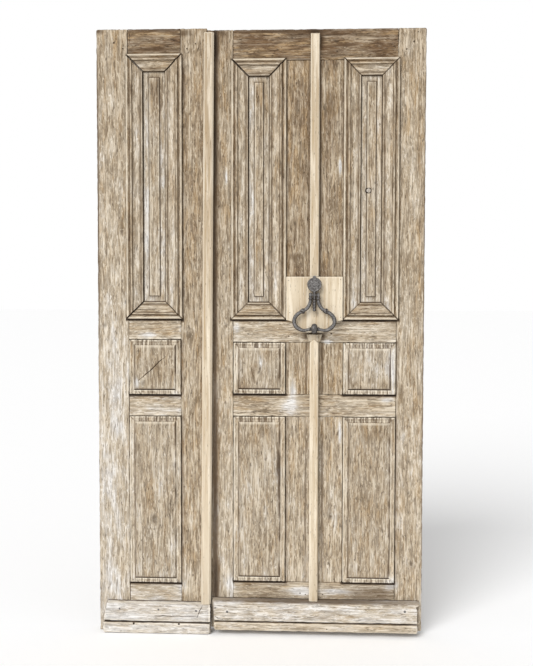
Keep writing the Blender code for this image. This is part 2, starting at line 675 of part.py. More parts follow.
def make_knocker_boss():
    """The fixed forging: shank on the board, rosette in front, stem with pendant, pivot through it."""
    rosette, pivot = knocker_places()
    stand = rosette.y - pivot.y - ROSETTE_THICKNESS / 2
    rim = ROSETTE_RADIUS - ROSETTE_RIM
    profile = [(0.0, CLEARANCE), (SHANK_RADIUS, CLEARANCE), (SHANK_RADIUS, stand),
               (ROSETTE_RADIUS - ROSETTE_RIM / 2, stand), (ROSETTE_RADIUS, stand + ROSETTE_THICKNESS / 2),
               (ROSETTE_RADIUS - ROSETTE_RIM / 2, stand + ROSETTE_THICKNESS),
               (rim, stand + ROSETTE_THICKNESS),
               (rim - ROSETTE_SINK, stand + ROSETTE_THICKNESS - ROSETTE_SINK),
               (ROSETTE_RIM, stand + ROSETTE_THICKNESS), (0.0, stand + ROSETTE_THICKNESS)]
    body = turned("rosette body", profile, rosette, (0, -1, 0), ROSETTE_SIDES)
    boss = bpy.data.objects.new("knocker_boss", body.data.copy())
    boss.data.materials.append(IRON)
    boss.location = body.location
    PIECES.objects.link(boss)
    bpy.data.objects.remove(body)
    neck = helper_block("stem neck", (pivot.x - STEM_RADIUS, pivot.y - STEM_RADIUS / 2, pivot.z),
                        (pivot.x + STEM_RADIUS, rosette.y - ROSETTE_THICKNESS, rosette.z))
    combine(boss, neck, 'UNION')
    combine(boss, turned("pendant", pendant_profile(), pivot, (0, 0, 1)), 'UNION')
    lug = [(0.0, stand), (ROSETTE_LUG_RADIUS, stand), (ROSETTE_LUG_RADIUS, stand + ROSETTE_THICKNESS / 2),
           (0.0, stand + ROSETTE_THICKNESS / 2)]
    combine(boss, turned("rosette lug", lug, rosette + Vector((0, 0, ROSETTE_RADIUS)), (0, -1, 0)), 'UNION')
    pin = [(0.0, -PIVOT_HALF_LENGTH), (PIVOT_RADIUS, -PIVOT_HALF_LENGTH),
           (PIVOT_RADIUS, PIVOT_HALF_LENGTH), (0.0, PIVOT_HALF_LENGTH)]
    combine(boss, turned("pivot pin", pin, pivot, (1, 0, 0)), 'UNION')


def drop_route():
    """Right half of the drop, from the eye round to the ball: across, below the pivot, rod radius.

    It is a free form, so its points are shares of its own half width and length.
    """
    wide, deep = DROP_HALF_WIDTH, DROP_LENGTH
    return [(DROP_ARM_OFFSET, -EYE_RADIUS / 2, ROD_RADIUS * 0.85),
            (DROP_ARM_OFFSET, -0.15 * deep, ROD_RADIUS * 0.9),
            (0.235 * wide, -0.25 * deep, ROD_RADIUS),
            (0.38 * wide, -0.385 * deep, ROD_RADIUS),
            (KNOB_ACROSS * wide, -KNOB_BELOW * deep, ROD_RADIUS),
            (0.86 * wide, -0.56 * deep, ROD_SIDE_RADIUS),
            (wide, -0.725 * deep, ROD_SIDE_RADIUS),
            (0.93 * wide, -0.87 * deep, ROD_SIDE_RADIUS),
            (0.74 * wide, -0.965 * deep, ROD_SIDE_RADIUS),
            (0.53 * wide, -deep, ROD_FOOT_RADIUS),
            (0.30 * wide, -0.982 * deep, ROD_FOOT_RADIUS),
            (0.0, -BALL_BELOW * deep, ROD_FOOT_RADIUS)]


def make_knocker_drop():
    """The swinging drop: a bowed rod with eyes, collars, knobs and the striking ball."""
    pivot = knocker_places()[1]
    half = drop_route()
    route = [(-across, below, radius) for across, below, radius in half[:-1]] + list(reversed(half))
    curve = bpy.data.curves.new("drop rod", 'CURVE')
    curve.dimensions = '3D'
    curve.bevel_depth = 1.0
    curve.bevel_resolution = 1
    curve.resolution_u = 3
    curve.use_fill_caps = True
    spline = curve.splines.new('BEZIER')
    spline.bezier_points.add(len(route) - 1)
    for point, (across, below, radius) in zip(spline.bezier_points, route):
        point.co = (pivot.x + across, pivot.y, pivot.z + below)
        point.radius = radius
        point.handle_left_type = 'AUTO'
        point.handle_right_type = 'AUTO'
    rod = bpy.data.objects.new("drop rod", curve)
    HELPERS.objects.link(rod)
    bpy.context.view_layer.update()
    mesh = bpy.data.meshes.new_from_object(rod.evaluated_get(bpy.context.evaluated_depsgraph_get()))
    bpy.data.objects.remove(rod)
    bm = bmesh.new()
    bm.from_mesh(mesh)
    bmesh.ops.remove_doubles(bm, verts=bm.verts, dist=MERGE_DISTANCE)
    drop = object_from_bmesh(bm, "knocker_drop", PIECES, IRON)

    eye = [(0.0, -EYE_HALF_WIDTH), (EYE_RADIUS - EYE_CHAMFER, -EYE_HALF_WIDTH),
           (EYE_RADIUS, EYE_CHAMFER - EYE_HALF_WIDTH), (EYE_RADIUS, EYE_HALF_WIDTH - EYE_CHAMFER),
           (EYE_RADIUS - EYE_CHAMFER, EYE_HALF_WIDTH), (0.0, EYE_HALF_WIDTH)]
    collar = [(0.0, -COLLAR_THICKNESS / 2), (COLLAR_RADIUS * COLLAR_EDGE, -COLLAR_THICKNESS / 2),
              (COLLAR_RADIUS, 0.0), (COLLAR_RADIUS * COLLAR_EDGE, COLLAR_THICKNESS / 2),
              (0.0, COLLAR_THICKNESS / 2)]
    knob = [(KNOB_RADIUS * x, KNOB_RADIUS * y) for x, y in arc((0.0, 0.0), 1.0, -90, 90, KNOB_STEPS)]
    knob = [(0.0, -KNOB_RADIUS), *knob[1:-1], (0.0, KNOB_RADIUS)]
    ball_place = pivot + Vector((0, 0, -BALL_BELOW * DROP_LENGTH))
    for side in (-1, 1):
        eye_place = pivot + Vector((side * DROP_ARM_OFFSET, 0, 0))
        combine(drop, turned(f"eye {side}", eye, eye_place, (1, 0, 0)), 'UNION')
        arm_place = pivot + Vector((side * DROP_ARM_OFFSET, 0, -ARM_COLLAR_BELOW * DROP_LENGTH))
        combine(drop, turned(f"arm collar {side}", collar, arm_place, (0, 0, 1)), 'UNION')
        knob_place = pivot + Vector((side * KNOB_ACROSS * DROP_HALF_WIDTH, 0, -KNOB_BELOW * DROP_LENGTH))
        combine(drop, turned(f"knob {side}", knob, knob_place, (side, 0, 0)), 'UNION')
        ball_end = ball_place + Vector((side * (BALL_HALF_WIDTH + COLLAR_THICKNESS), 0, 0))
        combine(drop, turned(f"ball collar {side}", collar, ball_end, (1, 0, 0)), 'UNION')
    ball = [(BALL_RADIUS * x ** BALL_FULLNESS, BALL_HALF_WIDTH * math.copysign(abs(y) ** BALL_FULLNESS, y))
            for x, y in arc((0.0, 0.0), 1.0, -90, 90, BALL_STEPS)[1:-1]]
    ball = [(0.0, -BALL_HALF_WIDTH), *ball, (0.0, BALL_HALF_WIDTH)]
    combine(drop, turned("striking ball", ball, ball_place, (1, 0, 0)), 'UNION')
    bore_radius = PIVOT_RADIUS + PIVOT_CLEARANCE
    bore_half = PIVOT_HALF_LENGTH * 2
    bore = [(0.0, -bore_half), (bore_radius, -bore_half), (bore_radius, bore_half), (0.0, bore_half)]
    combine(drop, turned("pivot bore", bore, pivot, (1, 0, 0)), 'DIFFERENCE')


for old in list(bpy.data.objects):
    bpy.data.objects.remove(old)
PIECES = new_collection("entrance door")
HELPERS = new_collection("cutters")
OLD_OAK = new_material("weathered oak", (0.36, 0.29, 0.21), 0.8)
NEW_OAK = new_material("newer oak", (0.62, 0.52, 0.38), 0.7)
PALE_OAK = new_material("bleached oak", (0.55, 0.50, 0.44), 0.85)
IRON = new_material("forged iron", (0.05, 0.048, 0.047), 0.5, 1.0)

make_left_leaf()
make_right_leaf()
make_cover_strip()
make_knocker_board()
make_centre_strips()
make_feet()
make_knocker_boss()
make_knocker_drop()
HELPERS.hide_render = True
bpy.context.view_layer.update()
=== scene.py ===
"""The looks of a pair of old oak entrance-door leaves with a forged knocker.

Metres, +Z up. The leaves stand in the XZ plane and are seen from -Y. Every wooden piece starts as a
merged copy of its solid, which is cut into strips along its grain, worn on its arrises and raised into
fibres. Each board carries its own grain coordinates, so that its figure runs the way the board was sawn.
"""
import json
import math

import bmesh
import bpy
import numpy as np
from bpy.props import FloatProperty, FloatVectorProperty, PointerProperty
from mathutils import Matrix, Vector, noise
from mathutils.bvhtree import BVHTree


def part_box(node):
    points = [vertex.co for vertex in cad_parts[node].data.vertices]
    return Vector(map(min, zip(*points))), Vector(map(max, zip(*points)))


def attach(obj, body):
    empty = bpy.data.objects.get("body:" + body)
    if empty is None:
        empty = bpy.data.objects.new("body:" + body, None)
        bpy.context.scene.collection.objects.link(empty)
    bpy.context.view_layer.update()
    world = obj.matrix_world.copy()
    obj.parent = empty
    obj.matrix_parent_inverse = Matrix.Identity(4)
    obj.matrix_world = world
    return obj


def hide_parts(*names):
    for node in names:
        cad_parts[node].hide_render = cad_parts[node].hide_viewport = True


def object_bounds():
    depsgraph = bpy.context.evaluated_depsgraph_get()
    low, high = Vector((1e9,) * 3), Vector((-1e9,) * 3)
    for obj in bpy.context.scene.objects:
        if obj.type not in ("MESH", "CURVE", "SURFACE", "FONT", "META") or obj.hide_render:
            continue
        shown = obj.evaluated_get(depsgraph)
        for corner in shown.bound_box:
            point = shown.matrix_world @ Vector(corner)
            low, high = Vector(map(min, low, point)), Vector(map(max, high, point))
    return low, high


bl_info = {
    "name": "Old oak entrance door",
    "version": (1, 0, 0),
    "blender": (4, 5, 0),
    "location": "3D View > Sidebar > Oak Door",
    "description": "Dresses a pair of oak door leaves with weathered wood and a forged knocker",
    "category": "Add Mesh",
}

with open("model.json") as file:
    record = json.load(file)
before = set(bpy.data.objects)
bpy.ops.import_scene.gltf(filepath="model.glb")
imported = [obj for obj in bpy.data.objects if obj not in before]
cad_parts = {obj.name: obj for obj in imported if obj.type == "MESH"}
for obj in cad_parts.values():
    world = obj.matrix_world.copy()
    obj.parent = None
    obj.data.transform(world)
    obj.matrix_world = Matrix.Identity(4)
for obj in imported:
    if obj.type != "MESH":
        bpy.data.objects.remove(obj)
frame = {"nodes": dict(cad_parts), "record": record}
CAD_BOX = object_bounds()
BODY_OF = {node: body for body, nodes in frame["record"]["behaviour"]["bodies"].items() for node in nodes}

MM = 0.001
X, Y, Z = 0, 1, 2
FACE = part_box("left_hanging_stile")[0].y
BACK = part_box("left_hanging_stile")[1].y
TONGUE = 10 * MM
JOINERY_FRONT = FACE + 11 * MM
JOINERY_BACK = BACK - 11 * MM

# Distances in from a raised panel's rim: to the end of its hollow band, and to its field
BAND_END = 20 * MM
FIELD = 21 * MM
# Distances in from an upper panel's visible edge: to the moulding's inner edge, and to its field
UNDER_MOULDING = 58.5 * MM
UPPER_FIELD = 81 * MM
# Distances in from a moulding's outer edge to its members, and to its inner edge
BEAD = 5 * MM
HOLLOW = 14 * MM
SCOTIA = 15.5 * MM
FILLET = 21.5 * MM
QUIRK = 26.5 * MM
COVE = 42 * MM
COVE_END = 58.5 * MM
INNER_FILLET = 62 * MM
INNER_EDGE = 66 * MM
# How far the mouldings lap over the frame round their panels
MOULDING_LAP = 8 * MM

# Places on the knocker: its middle across, the heights of its pivot and ball, and its right-hand twisted
# knob's middle and direction from there
KNOCKER_X = 840 * MM
PIVOT_Z = 154 * MM
BALL_Z = 25.4 * MM
KNOB_PLACE = (43.9 * MM, -65.3 * MM, 93.4 * MM)
KNOB_RUN = (0.844, 0.0, -0.536)
# The boss: the height of the lug on its top, and the radius of its rosette below that
LUG = 6.5 * MM
ROSETTE = 28 * MM
# Bands of painted shade on the forged pieces, where the eyes shade them: how far below the pivot, half
# height, how dark
SHADE_BANDS = {
    "knocker_boss": [(17 * MM, 3 * MM, 1.0)],
    "knocker_drop": [(18.2 * MM, 3.2 * MM, 1.0), (8.8 * MM, 1.6 * MM, 0.8)],
}
# Height of the foot of the lower centre strip's flared head
HEAD_FOOT = -32 * MM

# Where the camera stands, what it looks at and how far it leans in degrees, and which way the sun shines
CAMERA_PLACE = (0.8764, -4.0107, 0.2209)
CAMERA_AIM = (0.6557, -0.0225, 0.0070)
CAMERA_ROLL = 0.081
SUN_WAY = (0.42, 1.0, -0.74)

# Grain direction of each board, and how bleached it is at its top and at its foot: 0 brown, 1 grey white
STILES = {
    "left_hanging_stile": (Z, 0.56, 0.82),
    "left_meeting_stile": (Z, 0.42, 0.56),
    "right_meeting_stile": (Z, 0.38, 0.74),
    "right_hanging_stile": (Z, 0.54, 0.64),
    "right_upper_muntin": (Z, 0.34, 0.38),
    "right_middle_muntin": (Z, 0.45, 0.50),
    "right_lower_muntin": (Z, 0.58, 0.64),
}
RAILS = {
    "left_top_rail": (X, 0.06, 0.14),
    "left_lock_rail": (X, 0.60, 0.66),
    "left_frieze_rail": (X, 0.66, 0.70),
    "left_bottom_rail": (X, 0.74, 0.80),
    "right_top_rail": (X, 0.02, 0.10),
    "right_lock_rail": (X, 0.60, 0.66),
    "right_frieze_rail": (X, 0.60, 0.66),
    "right_bottom_rail": (X, 0.56, 0.66),
}
RAISED_PANELS = {
    "left_small_panel": (Z, 0.58, 0.60),
    "left_lower_panel": (Z, 0.66, 0.70),
    "right_near_small_panel": (Z, 0.64, 0.64),
    "right_near_lower_panel": (Z, 0.62, 0.66),
    "right_far_small_panel": (Z, 0.72, 0.72),
    "right_far_lower_panel": (Z, 0.56, 0.62),
}
BORDERED_PANELS = {
    "left_upper_panel": (Z, 0.60, 0.76),
    "right_near_upper_panel": (Z, 0.56, 0.68),
    "right_far_upper_panel": (Z, 0.60, 0.66),
}
MOULDINGS = {
    "left_moulding": (0.50, 0.56),
    "right_near_moulding": (0.42, 0.56),
    "right_far_moulding": (0.44, 0.58),
}
FEET = {
    "left_plinth_board": (X, 0.90, 0.96),
    "left_drip_moulding": (X, 0.84, 0.88),
    "right_plinth_board": (X, 0.78, 0.86),
    "right_drip_moulding": (X, 0.66, 0.72),
}
NEWER_OAK = {
    "left_cover_strip": (Z, 0.02, 0.92),
    "centre_strip_upper": (Z, 0.46, 0.66),
    "centre_strip_lower": (Z, 0.88, 0.94),
    "knocker_board": (Z, 1.00, 1.00),
}

# How far the mitres of each moulding have opened, in the order top left, top right, bottom left, bottom
# right: 0 is tight, 1 a black gap, and more a wider one
OPEN_MITRES = {
    "left_moulding": (1.3, 1.0, 1.3, 0.5),
    "right_near_moulding": (1.5, 1.1, 0.3, 0.6),
    "right_far_moulding": (0.5, 0.5, 0.3, 0.6),
}

# Small things on the face: what carries them, place across and up, radius, how far they stand proud
NAILS = [
    ("left_plinth_board", 0.0825, -1.0747, 0.004, 0.0012),
    ("left_plinth_board", 0.2357, -1.0758, 0.004, 0.0012),
    ("left_plinth_board", 0.3832, -1.0785, 0.0045, 0.0012),
    ("right_plinth_board", 0.505, -1.0793, 0.005, 0.0014),
    ("right_plinth_board", 1.1927, -1.0656, 0.0055, 0.0014),
    ("right_plinth_board", 0.4585, -1.0643, 0.003, 0.001),
    ("knocker_board", 0.7401, 0.2093, 0.0021, 0.0004),
    ("knocker_board", 0.9393, 0.2134, 0.0021, 0.0004),
    ("knocker_board", 0.7462, 0.0864, 0.0021, 0.0004),
    ("knocker_board", 0.94, 0.0697, 0.0021, 0.0004),
]
HOLES = [
    ("left_drip_moulding", 0.1402, -1.129, 0.0045, 0.0002),
    ("left_drip_moulding", 0.3175, -1.129, 0.0045, 0.0002),
    ("right_bottom_rail", 0.7881, -1.0093, 0.003, 0.0002),
    ("right_bottom_rail", 0.8087, -1.0136, 0.0026, 0.0002),
    ("right_bottom_rail", 0.8761, -1.0124, 0.0026, 0.0002),
    ("right_drip_moulding", 0.8926, -1.1372, 0.003, 0.0002),
]
PLUGS = [
    ("right_far_upper_panel", 1.0446, 0.5519, 0.0105, 0.001),
]
PEGS = [
    ("left_hanging_stile", 0.0681, 1.1173, 0.0048, 0.0003),
    ("left_hanging_stile", 0.1024, 1.095, 0.0034, 0.0003),
    ("left_meeting_stile", 0.35, 1.0924, 0.004, 0.0003),
    ("left_meeting_stile", 0.3827, 1.1105, 0.0036, 0.0003),
    ("right_hanging_stile", 1.2117, 1.11, 0.0048, 0.0003),
    ("right_hanging_stile", 1.1839, 1.0824, 0.0044, 0.0003),
    ("right_hanging_stile", 1.2267, 1.1459, 0.003, 0.0003),
    ("right_top_rail", 0.9219, 1.077, 0.0036, 0.0003),
    ("right_lock_rail", 0.905, 0.005, 0.0042, 0.0003),
    ("right_lock_rail", 0.742, -0.005, 0.0034, 0.0003),
]

# Cracks: what carries them, width, how dark, and their points across and up
CRACKS = [
    ("left_plinth_board", 0.002, 1.0, [(0.409, -1.056), (0.401, -1.072), (0.396, -1.08),
                                   (0.3905, -1.096), (0.387, -1.106)]),
    ("left_plinth_board", 0.0016, 0.8, [(0.22, -1.099), (0.29, -1.101), (0.39, -1.0985)]),
    ("left_top_rail", 0.0018, 0.8, [(0.127, 1.16), (0.131, 1.138), (0.128, 1.116)]),
    ("right_plinth_board", 0.0018, 1.0, [(0.456, -1.095), (0.472, -1.108), (0.53, -1.1065)]),
    ("right_frieze_rail", 0.0016, 0.8, [(0.54, -0.305), (0.63, -0.298), (0.70, -0.306)]),
    ("right_lock_rail", 0.0016, 0.8, [(0.97, 0.052), (1.03, 0.056), (1.12, 0.05)]),
    ("left_small_panel", 0.0034, 0.80, [(0.157, -0.18), (0.19, -0.152), (0.215, -0.13),
                                        (0.24, -0.106), (0.266, -0.084)]),
]

# Outer corners that are worn round: side along X and along Z
ROUNDED = {
    "left_hanging_stile": [(-1, 1)],
    "right_hanging_stile": [(1, 1)],
    "left_drip_moulding": [(-1, -1), (1, -1)],
    "right_drip_moulding": [(-1, -1), (1, -1)],
}

# Knots: place across and up the leaves, radius, how dark
KNOTS = [
    (0.0958, 0.3993, 0.011, 0.6),
    (0.0257, 0.0334, 0.009, 0.7),
    (0.3591, -0.0021, 0.014, 0.6),
    (0.4731, 0.4934, 0.008, 0.5),
    (0.499, 0.0373, 0.009, 0.6),
    (0.2194, -0.7236, 0.016, 0.8),
    (0.176, -0.19, 0.013, 0.7),
    (0.621, -0.1285, 0.019, 0.3),
    (0.9054, -0.7051, 0.012, 0.8),
    (1.2053, -0.608, 0.009, 0.7),
    (1.2162, -0.8854, 0.01, 0.8),
]


def linear(hex_colour):
    """An sRGB hex colour as linear red, green and blue."""
    channels = [int(hex_colour[i:i + 2], 16) / 255 for i in (1, 3, 5)]
    return [c / 12.92 if c <= 0.04045 else ((c + 0.055) / 1.055) ** 2.4 for c in channels]


def colour_setting(name, description, hex_colour):
    """A colour that shows in the add-on's panel."""
    return FloatVectorProperty(name=name, description=description, default=linear(hex_colour), size=3,
                               min=0.0, max=1.0, subtype='COLOR')


class WoodSettings(bpy.types.PropertyGroup):
    """Sizes of the weathering on the oak."""

    strip: FloatProperty(
        name="Strip", description="Distance between cuts across the grain", default=2.7 * MM,
        min=1 * MM, unit='LENGTH')
    run: FloatProperty(
        name="Run", description="Distance between cuts along the grain", default=11 * MM,
        min=2 * MM, unit='LENGTH')
    arris: FloatProperty(
        name="Arris", description="Rounding of the old edges", default=1.1 * MM, min=0.1 * MM,
        unit='LENGTH')
    fibre_depth: FloatProperty(
        name="Fibre depth", description="How deep the soft wood has worn away between the fibres",
        default=0.75 * MM, min=0.0, unit='LENGTH')
    chip_depth: FloatProperty(
        name="Chip depth", description="How far the arrises have crumbled", default=1.6 * MM, min=0.0,
        unit='LENGTH')


class ColourSettings(bpy.types.PropertyGroup):
    """Colours of the oak and of the iron."""

    patina: colour_setting("Patina", "Oak that kept its old brown patina", "#6b5238")
    body: colour_setting("Body", "Most of the old oak", "#a08d73")
    washed: colour_setting("Washed", "Oak that rain and scrubbing have washed out", "#bcae99")
    bleached: colour_setting("Bleached", "The bleached grey white foot", "#d3cfca")
    chalk: colour_setting("Chalk", "Scrubbed fibres where the oak is bleached", "#eeedeb")
    pore: colour_setting("Pore", "Open pores and drying checks", "#3a2c1f")
    # This colour also paints the shade put into gaps, hollows and beside proud parts.
    grime_and_shade: colour_setting("Grime", "Dirt in joints and corners", "#2c2117")
    ridge: colour_setting("Ridge", "Scrubbed fibres that catch the light", "#eadfcb")
    fresh: colour_setting("Fresh", "Newer oak", "#c9b99f")
    fresh_streak: colour_setting("Fresh streak", "Tan streaks in the newer oak", "#a88c66")
    iron: colour_setting("Iron", "Forged iron, waxed", "#817e7c")


class StageSettings(bpy.types.PropertyGroup):
    """Light and camera."""

    key: FloatProperty(
        name="Key light", description="Strength of the soft light from the upper left", default=2.5,
        min=0.0)
    fill: FloatProperty(
        name="Fill light", description="Strength of the light from all round", default=0.56, min=0.0)
    lens: FloatProperty(
        name="Lens", description="Focal length", default=56.08, min=1.0, subtype='DISTANCE_CAMERA')


def add_node(tree, kind, inputs=None, **settings):
    """Add a shader node; inputs holds values or the sockets that feed it."""
    node = tree.nodes.new(kind)
    for name, value in settings.items():
        setattr(node, name, value)
    for name, value in (inputs or {}).items():
        if isinstance(value, bpy.types.NodeSocket):
            tree.links.new(value, node.inputs[name])
        else:
            node.inputs[name].default_value = value
    return node


def rgba(colour):
    """A colour with full opacity."""
    return (*colour, 1.0)


def start_material(name):
    """A new node material with its tree and its Principled shader."""
    material = bpy.data.materials.new(name)
    material.use_nodes = True
    tree = material.node_tree
    return material, tree, tree.nodes["Principled BSDF"]


def fibre_noise(tree, grain, across, along, **inputs):
    """Noise drawn out along the grain; across and along are the size of its grains in millimetres."""
    scale = (1 / (across * MM), 1 / (across * MM), 1 / (along * MM))
    stretched = add_node(tree, 'ShaderNodeVectorMath', {0: grain, 1: scale}, operation='MULTIPLY')
    pattern = add_node(tree, 'ShaderNodeTexNoise', {"Vector": stretched.outputs[0], "Scale": 1.0, **inputs})
    return pattern.outputs["Fac"]


def paint_over(tree, under, over, pattern, low, high, most):
    """Paint one colour over another, from not at all where the pattern is low to most where it is high."""
    share = add_node(tree, 'ShaderNodeMapRange',
                     {"Value": pattern, "From Min": low, "From Max": high, "To Max": most},
                     interpolation_type='SMOOTHSTEP')
    mixed = add_node(tree, 'ShaderNodeMix', {0: share.outputs[0], 6: under, 7: over}, data_type='RGBA')
    return mixed.outputs[2]


def make_old_oak(colours):
    """Weathered oak: dry and matt, brown where sheltered, washed out and silvered where wet.

    Late wood shows as thin dark rings, soft wood has worn back between fibres, and open pores run along
    them. The finest fibres and pores are too small to show, so all of them are drawn about three times
    as coarse as real ones.
    """
    material, tree, shader = start_material("old_oak")
    grain = add_node(tree, 'ShaderNodeAttribute', attribute_name="grain").outputs["Vector"]
    carried = {name: add_node(tree, 'ShaderNodeAttribute', attribute_name=name).outputs["Fac"]
               for name in ("pale", "coarse", "relief", "knot", "worn", "grime_and_shade")}

    figure = fibre_noise(tree, grain, 30, 420, Detail=2.0, Distortion=0.5)
    blotch = fibre_noise(tree, grain, 42, 120, Detail=4.0, Roughness=0.65)
    tint = fibre_noise(tree, grain, 22, 160, Detail=3.0, Roughness=0.6, Distortion=0.6)
    strand = fibre_noise(tree, grain, 7, 170, Detail=2.0, Roughness=0.6, Distortion=0.6)
    fibre = fibre_noise(tree, grain, 6.5, 55, Detail=3.0, Roughness=0.65, Distortion=0.9)
    fine = fibre_noise(tree, grain, 5, 18, Detail=2.0, Roughness=0.7, Distortion=0.4)
    pores = fibre_noise(tree, grain, 5.5, 24, Detail=1.0, Distortion=0.5)
    turns = add_node(tree, 'ShaderNodeMath', {0: figure, 1: 13.0, 2: fibre}, operation='MULTIPLY_ADD')
    ring = add_node(tree, 'ShaderNodeMath', {0: turns.outputs[0], 1: 0.5}, operation='PINGPONG').outputs[0]

    off_middle = add_node(tree, 'ShaderNodeMath', {0: blotch, 1: 0.5}, operation='SUBTRACT').outputs[0]
    uneven = add_node(tree, 'ShaderNodeMath', {0: carried["pale"], 1: -0.8, 2: 1.45},
                      operation='MULTIPLY_ADD').outputs[0]
    tone = add_node(tree, 'ShaderNodeMath', {0: off_middle, 1: uneven, 2: carried["pale"]},
                    operation='MULTIPLY_ADD', use_clamp=True).outputs[0]
    ramp = add_node(tree, 'ShaderNodeValToRGB', {"Fac": tone})
    stops = ramp.color_ramp.elements
    stops[0].color = rgba(colours.patina)
    stops[1].color = rgba(colours.bleached)
    stops.new(0.45).color = rgba(colours.body)
    stops.new(0.75).color = rgba(colours.washed)
    warmth = add_node(tree, 'ShaderNodeMapRange',
                      {"Value": tone, "From Min": 0.95, "From Max": 0.45, "To Max": 0.72}).outputs[0]
    base = ramp.outputs["Color"]
    for over, low, high, most in ((colours.fresh_streak, 0.50, 0.68, warmth),
                                  (colours.washed, 0.46, 0.30, 0.30)):
        base = paint_over(tree, base, rgba(over), tint, low, high, most)

    dark_share = add_node(tree, 'ShaderNodeMapRange', {"Value": tone, "To Min": 0.76, "To Max": 0.41})
    dark = add_node(tree, 'ShaderNodeMix', {0: dark_share.outputs[0], 6: base, 7: rgba(colours.pore)},
                    data_type='RGBA').outputs[2]
    light_share = add_node(tree, 'ShaderNodeMapRange', {"Value": tone, "To Min": 0.12, "To Max": 0.67})
    chalky = add_node(tree, 'ShaderNodeMapRange', {"Value": tone, "From Min": 0.60, "From Max": 0.90})
    scrubbed = add_node(tree, 'ShaderNodeMix',
                        {0: chalky.outputs[0], 6: rgba(colours.ridge), 7: rgba(colours.chalk)},
                        data_type='RGBA').outputs[2]
    light = add_node(tree, 'ShaderNodeMix', {0: light_share.outputs[0], 6: base, 7: scrubbed},
                     data_type='RGBA').outputs[2]
    ring_share = add_node(tree, 'ShaderNodeMapRange', {"Value": carried["coarse"], "To Min": 0.65})
    colour = base
    for over, pattern, low, high, most in ((dark, ring, 0.17, 0.03, ring_share.outputs[0]),
                                           (dark, fibre, 0.48, 0.37, 0.80),
                                           (dark, strand, 0.46, 0.34, 0.70),
                                           (dark, fine, 0.44, 0.32, 0.55),
                                           (light, fibre, 0.53, 0.64, 0.90),
                                           (light, strand, 0.55, 0.67, 0.90),
                                           (light, fine, 0.55, 0.68, 0.85),
                                           (dark, carried["relief"], 0.55, 0.95, 0.55)):
        colour = paint_over(tree, colour, over, pattern, low, high, most)
    pore_share = add_node(tree, 'ShaderNodeMapRange',
                          {"Value": pores, "From Min": 0.62, "From Max": 0.72,
                           "To Max": dark_share.outputs[0]},
                          interpolation_type='SMOOTHSTEP').outputs[0]
    open_share = add_node(tree, 'ShaderNodeMath', {0: carried["coarse"], 1: 0.22, 2: pore_share},
                          operation='MULTIPLY_ADD', use_clamp=True)
    knot_share = add_node(tree, 'ShaderNodeMath', {0: carried["knot"], 1: 0.85}, operation='MULTIPLY')
    # The dark share of soiling and painted shade first browns the wood toward patina, then darkens it.
    grime_and_shade_brown = add_node(tree, 'ShaderNodeMapRange',
                       {"Value": carried["grime_and_shade"], "From Min": 0.04, "From Max": 0.50, "To Max": 0.65})
    # worn paints rubbed wood and also painted highlights toward the ridge colour.
    for share, over in ((open_share.outputs[0], colours.pore), (knot_share.outputs[0], colours.pore),
                        (carried["worn"], colours.ridge), (grime_and_shade_brown.outputs[0], colours.patina)):
        colour = add_node(tree, 'ShaderNodeMix', {0: share, 6: colour, 7: rgba(over)},
                          data_type='RGBA').outputs[2]
    colour = paint_over(tree, colour, rgba(colours.grime_and_shade), fibre, 0.15, 0.42, carried["grime_and_shade"])
    tree.links.new(colour, shader.inputs["Base Color"])

    height = add_node(tree, 'ShaderNodeMath', {0: fine, 1: 0.5, 2: fibre}, operation='MULTIPLY_ADD')
    height = add_node(tree, 'ShaderNodeMath', {0: pore_share, 1: -0.5, 2: height.outputs[0]},
                      operation='MULTIPLY_ADD')
    bump = add_node(tree, 'ShaderNodeBump',
                    {"Height": height.outputs[0], "Strength": 0.8, "Distance": 1.3 * MM})
    tree.links.new(bump.outputs["Normal"], shader.inputs["Normal"])
    shader.inputs["Roughness"].default_value = 0.85
    shader.inputs["Specular IOR Level"].default_value = 0.25
    return material


def make_newer_oak(colours):
    """Newer oak: planed, pale and creamy, with long tan streaks and few pores, browner where less pale."""
    material, tree, shader = start_material("planed_oak")
    grain = add_node(tree, 'ShaderNodeAttribute', attribute_name="grain").outputs["Vector"]
    carried = {name: add_node(tree, 'ShaderNodeAttribute', attribute_name=name).outputs["Fac"]
               for name in ("pale", "worn", "grime_and_shade")}
    streak = fibre_noise(tree, grain, 7, 420, Detail=3.0, Roughness=0.65, Distortion=0.5)
    blotch = fibre_noise(tree, grain, 16, 240, Detail=3.0, Roughness=0.6)
    fine = fibre_noise(tree, grain, 3.2, 60, Detail=2.0, Roughness=0.7)
    pores = fibre_noise(tree, grain, 3.0, 20, Detail=1.0)
    colour = add_node(tree, 'ShaderNodeMix',
                      {0: carried["pale"], 6: rgba(colours.body), 7: rgba(colours.fresh)},
                      data_type='RGBA').outputs[2]
    for over, pattern, low, high, most in ((colours.fresh_streak, streak, 0.50, 0.66, 0.45),
                                           (colours.ridge, streak, 0.47, 0.34, 0.50),
                                           (colours.ridge, blotch, 0.48, 0.68, 0.55),
                                           (colours.fresh_streak, blotch, 0.46, 0.30, 0.45),
                                           (colours.fresh_streak, fine, 0.55, 0.75, 0.45),
                                           (colours.pore, pores, 0.66, 0.74, 0.60)):
        colour = paint_over(tree, colour, rgba(over), pattern, low, high, most)
    for share, over in ((carried["worn"], colours.ridge), (carried["grime_and_shade"], colours.pore)):
        colour = add_node(tree, 'ShaderNodeMix', {0: share, 6: colour, 7: rgba(over)},
                          data_type='RGBA').outputs[2]
    tree.links.new(colour, shader.inputs["Base Color"])
    bump = add_node(tree, 'ShaderNodeBump', {"Height": fine, "Strength": 0.4, "Distance": 0.8 * MM})
    tree.links.new(bump.outputs["Normal"], shader.inputs["Normal"])
    shader.inputs["Roughness"].default_value = 0.7
    shader.inputs["Specular IOR Level"].default_value = 0.3
    return material


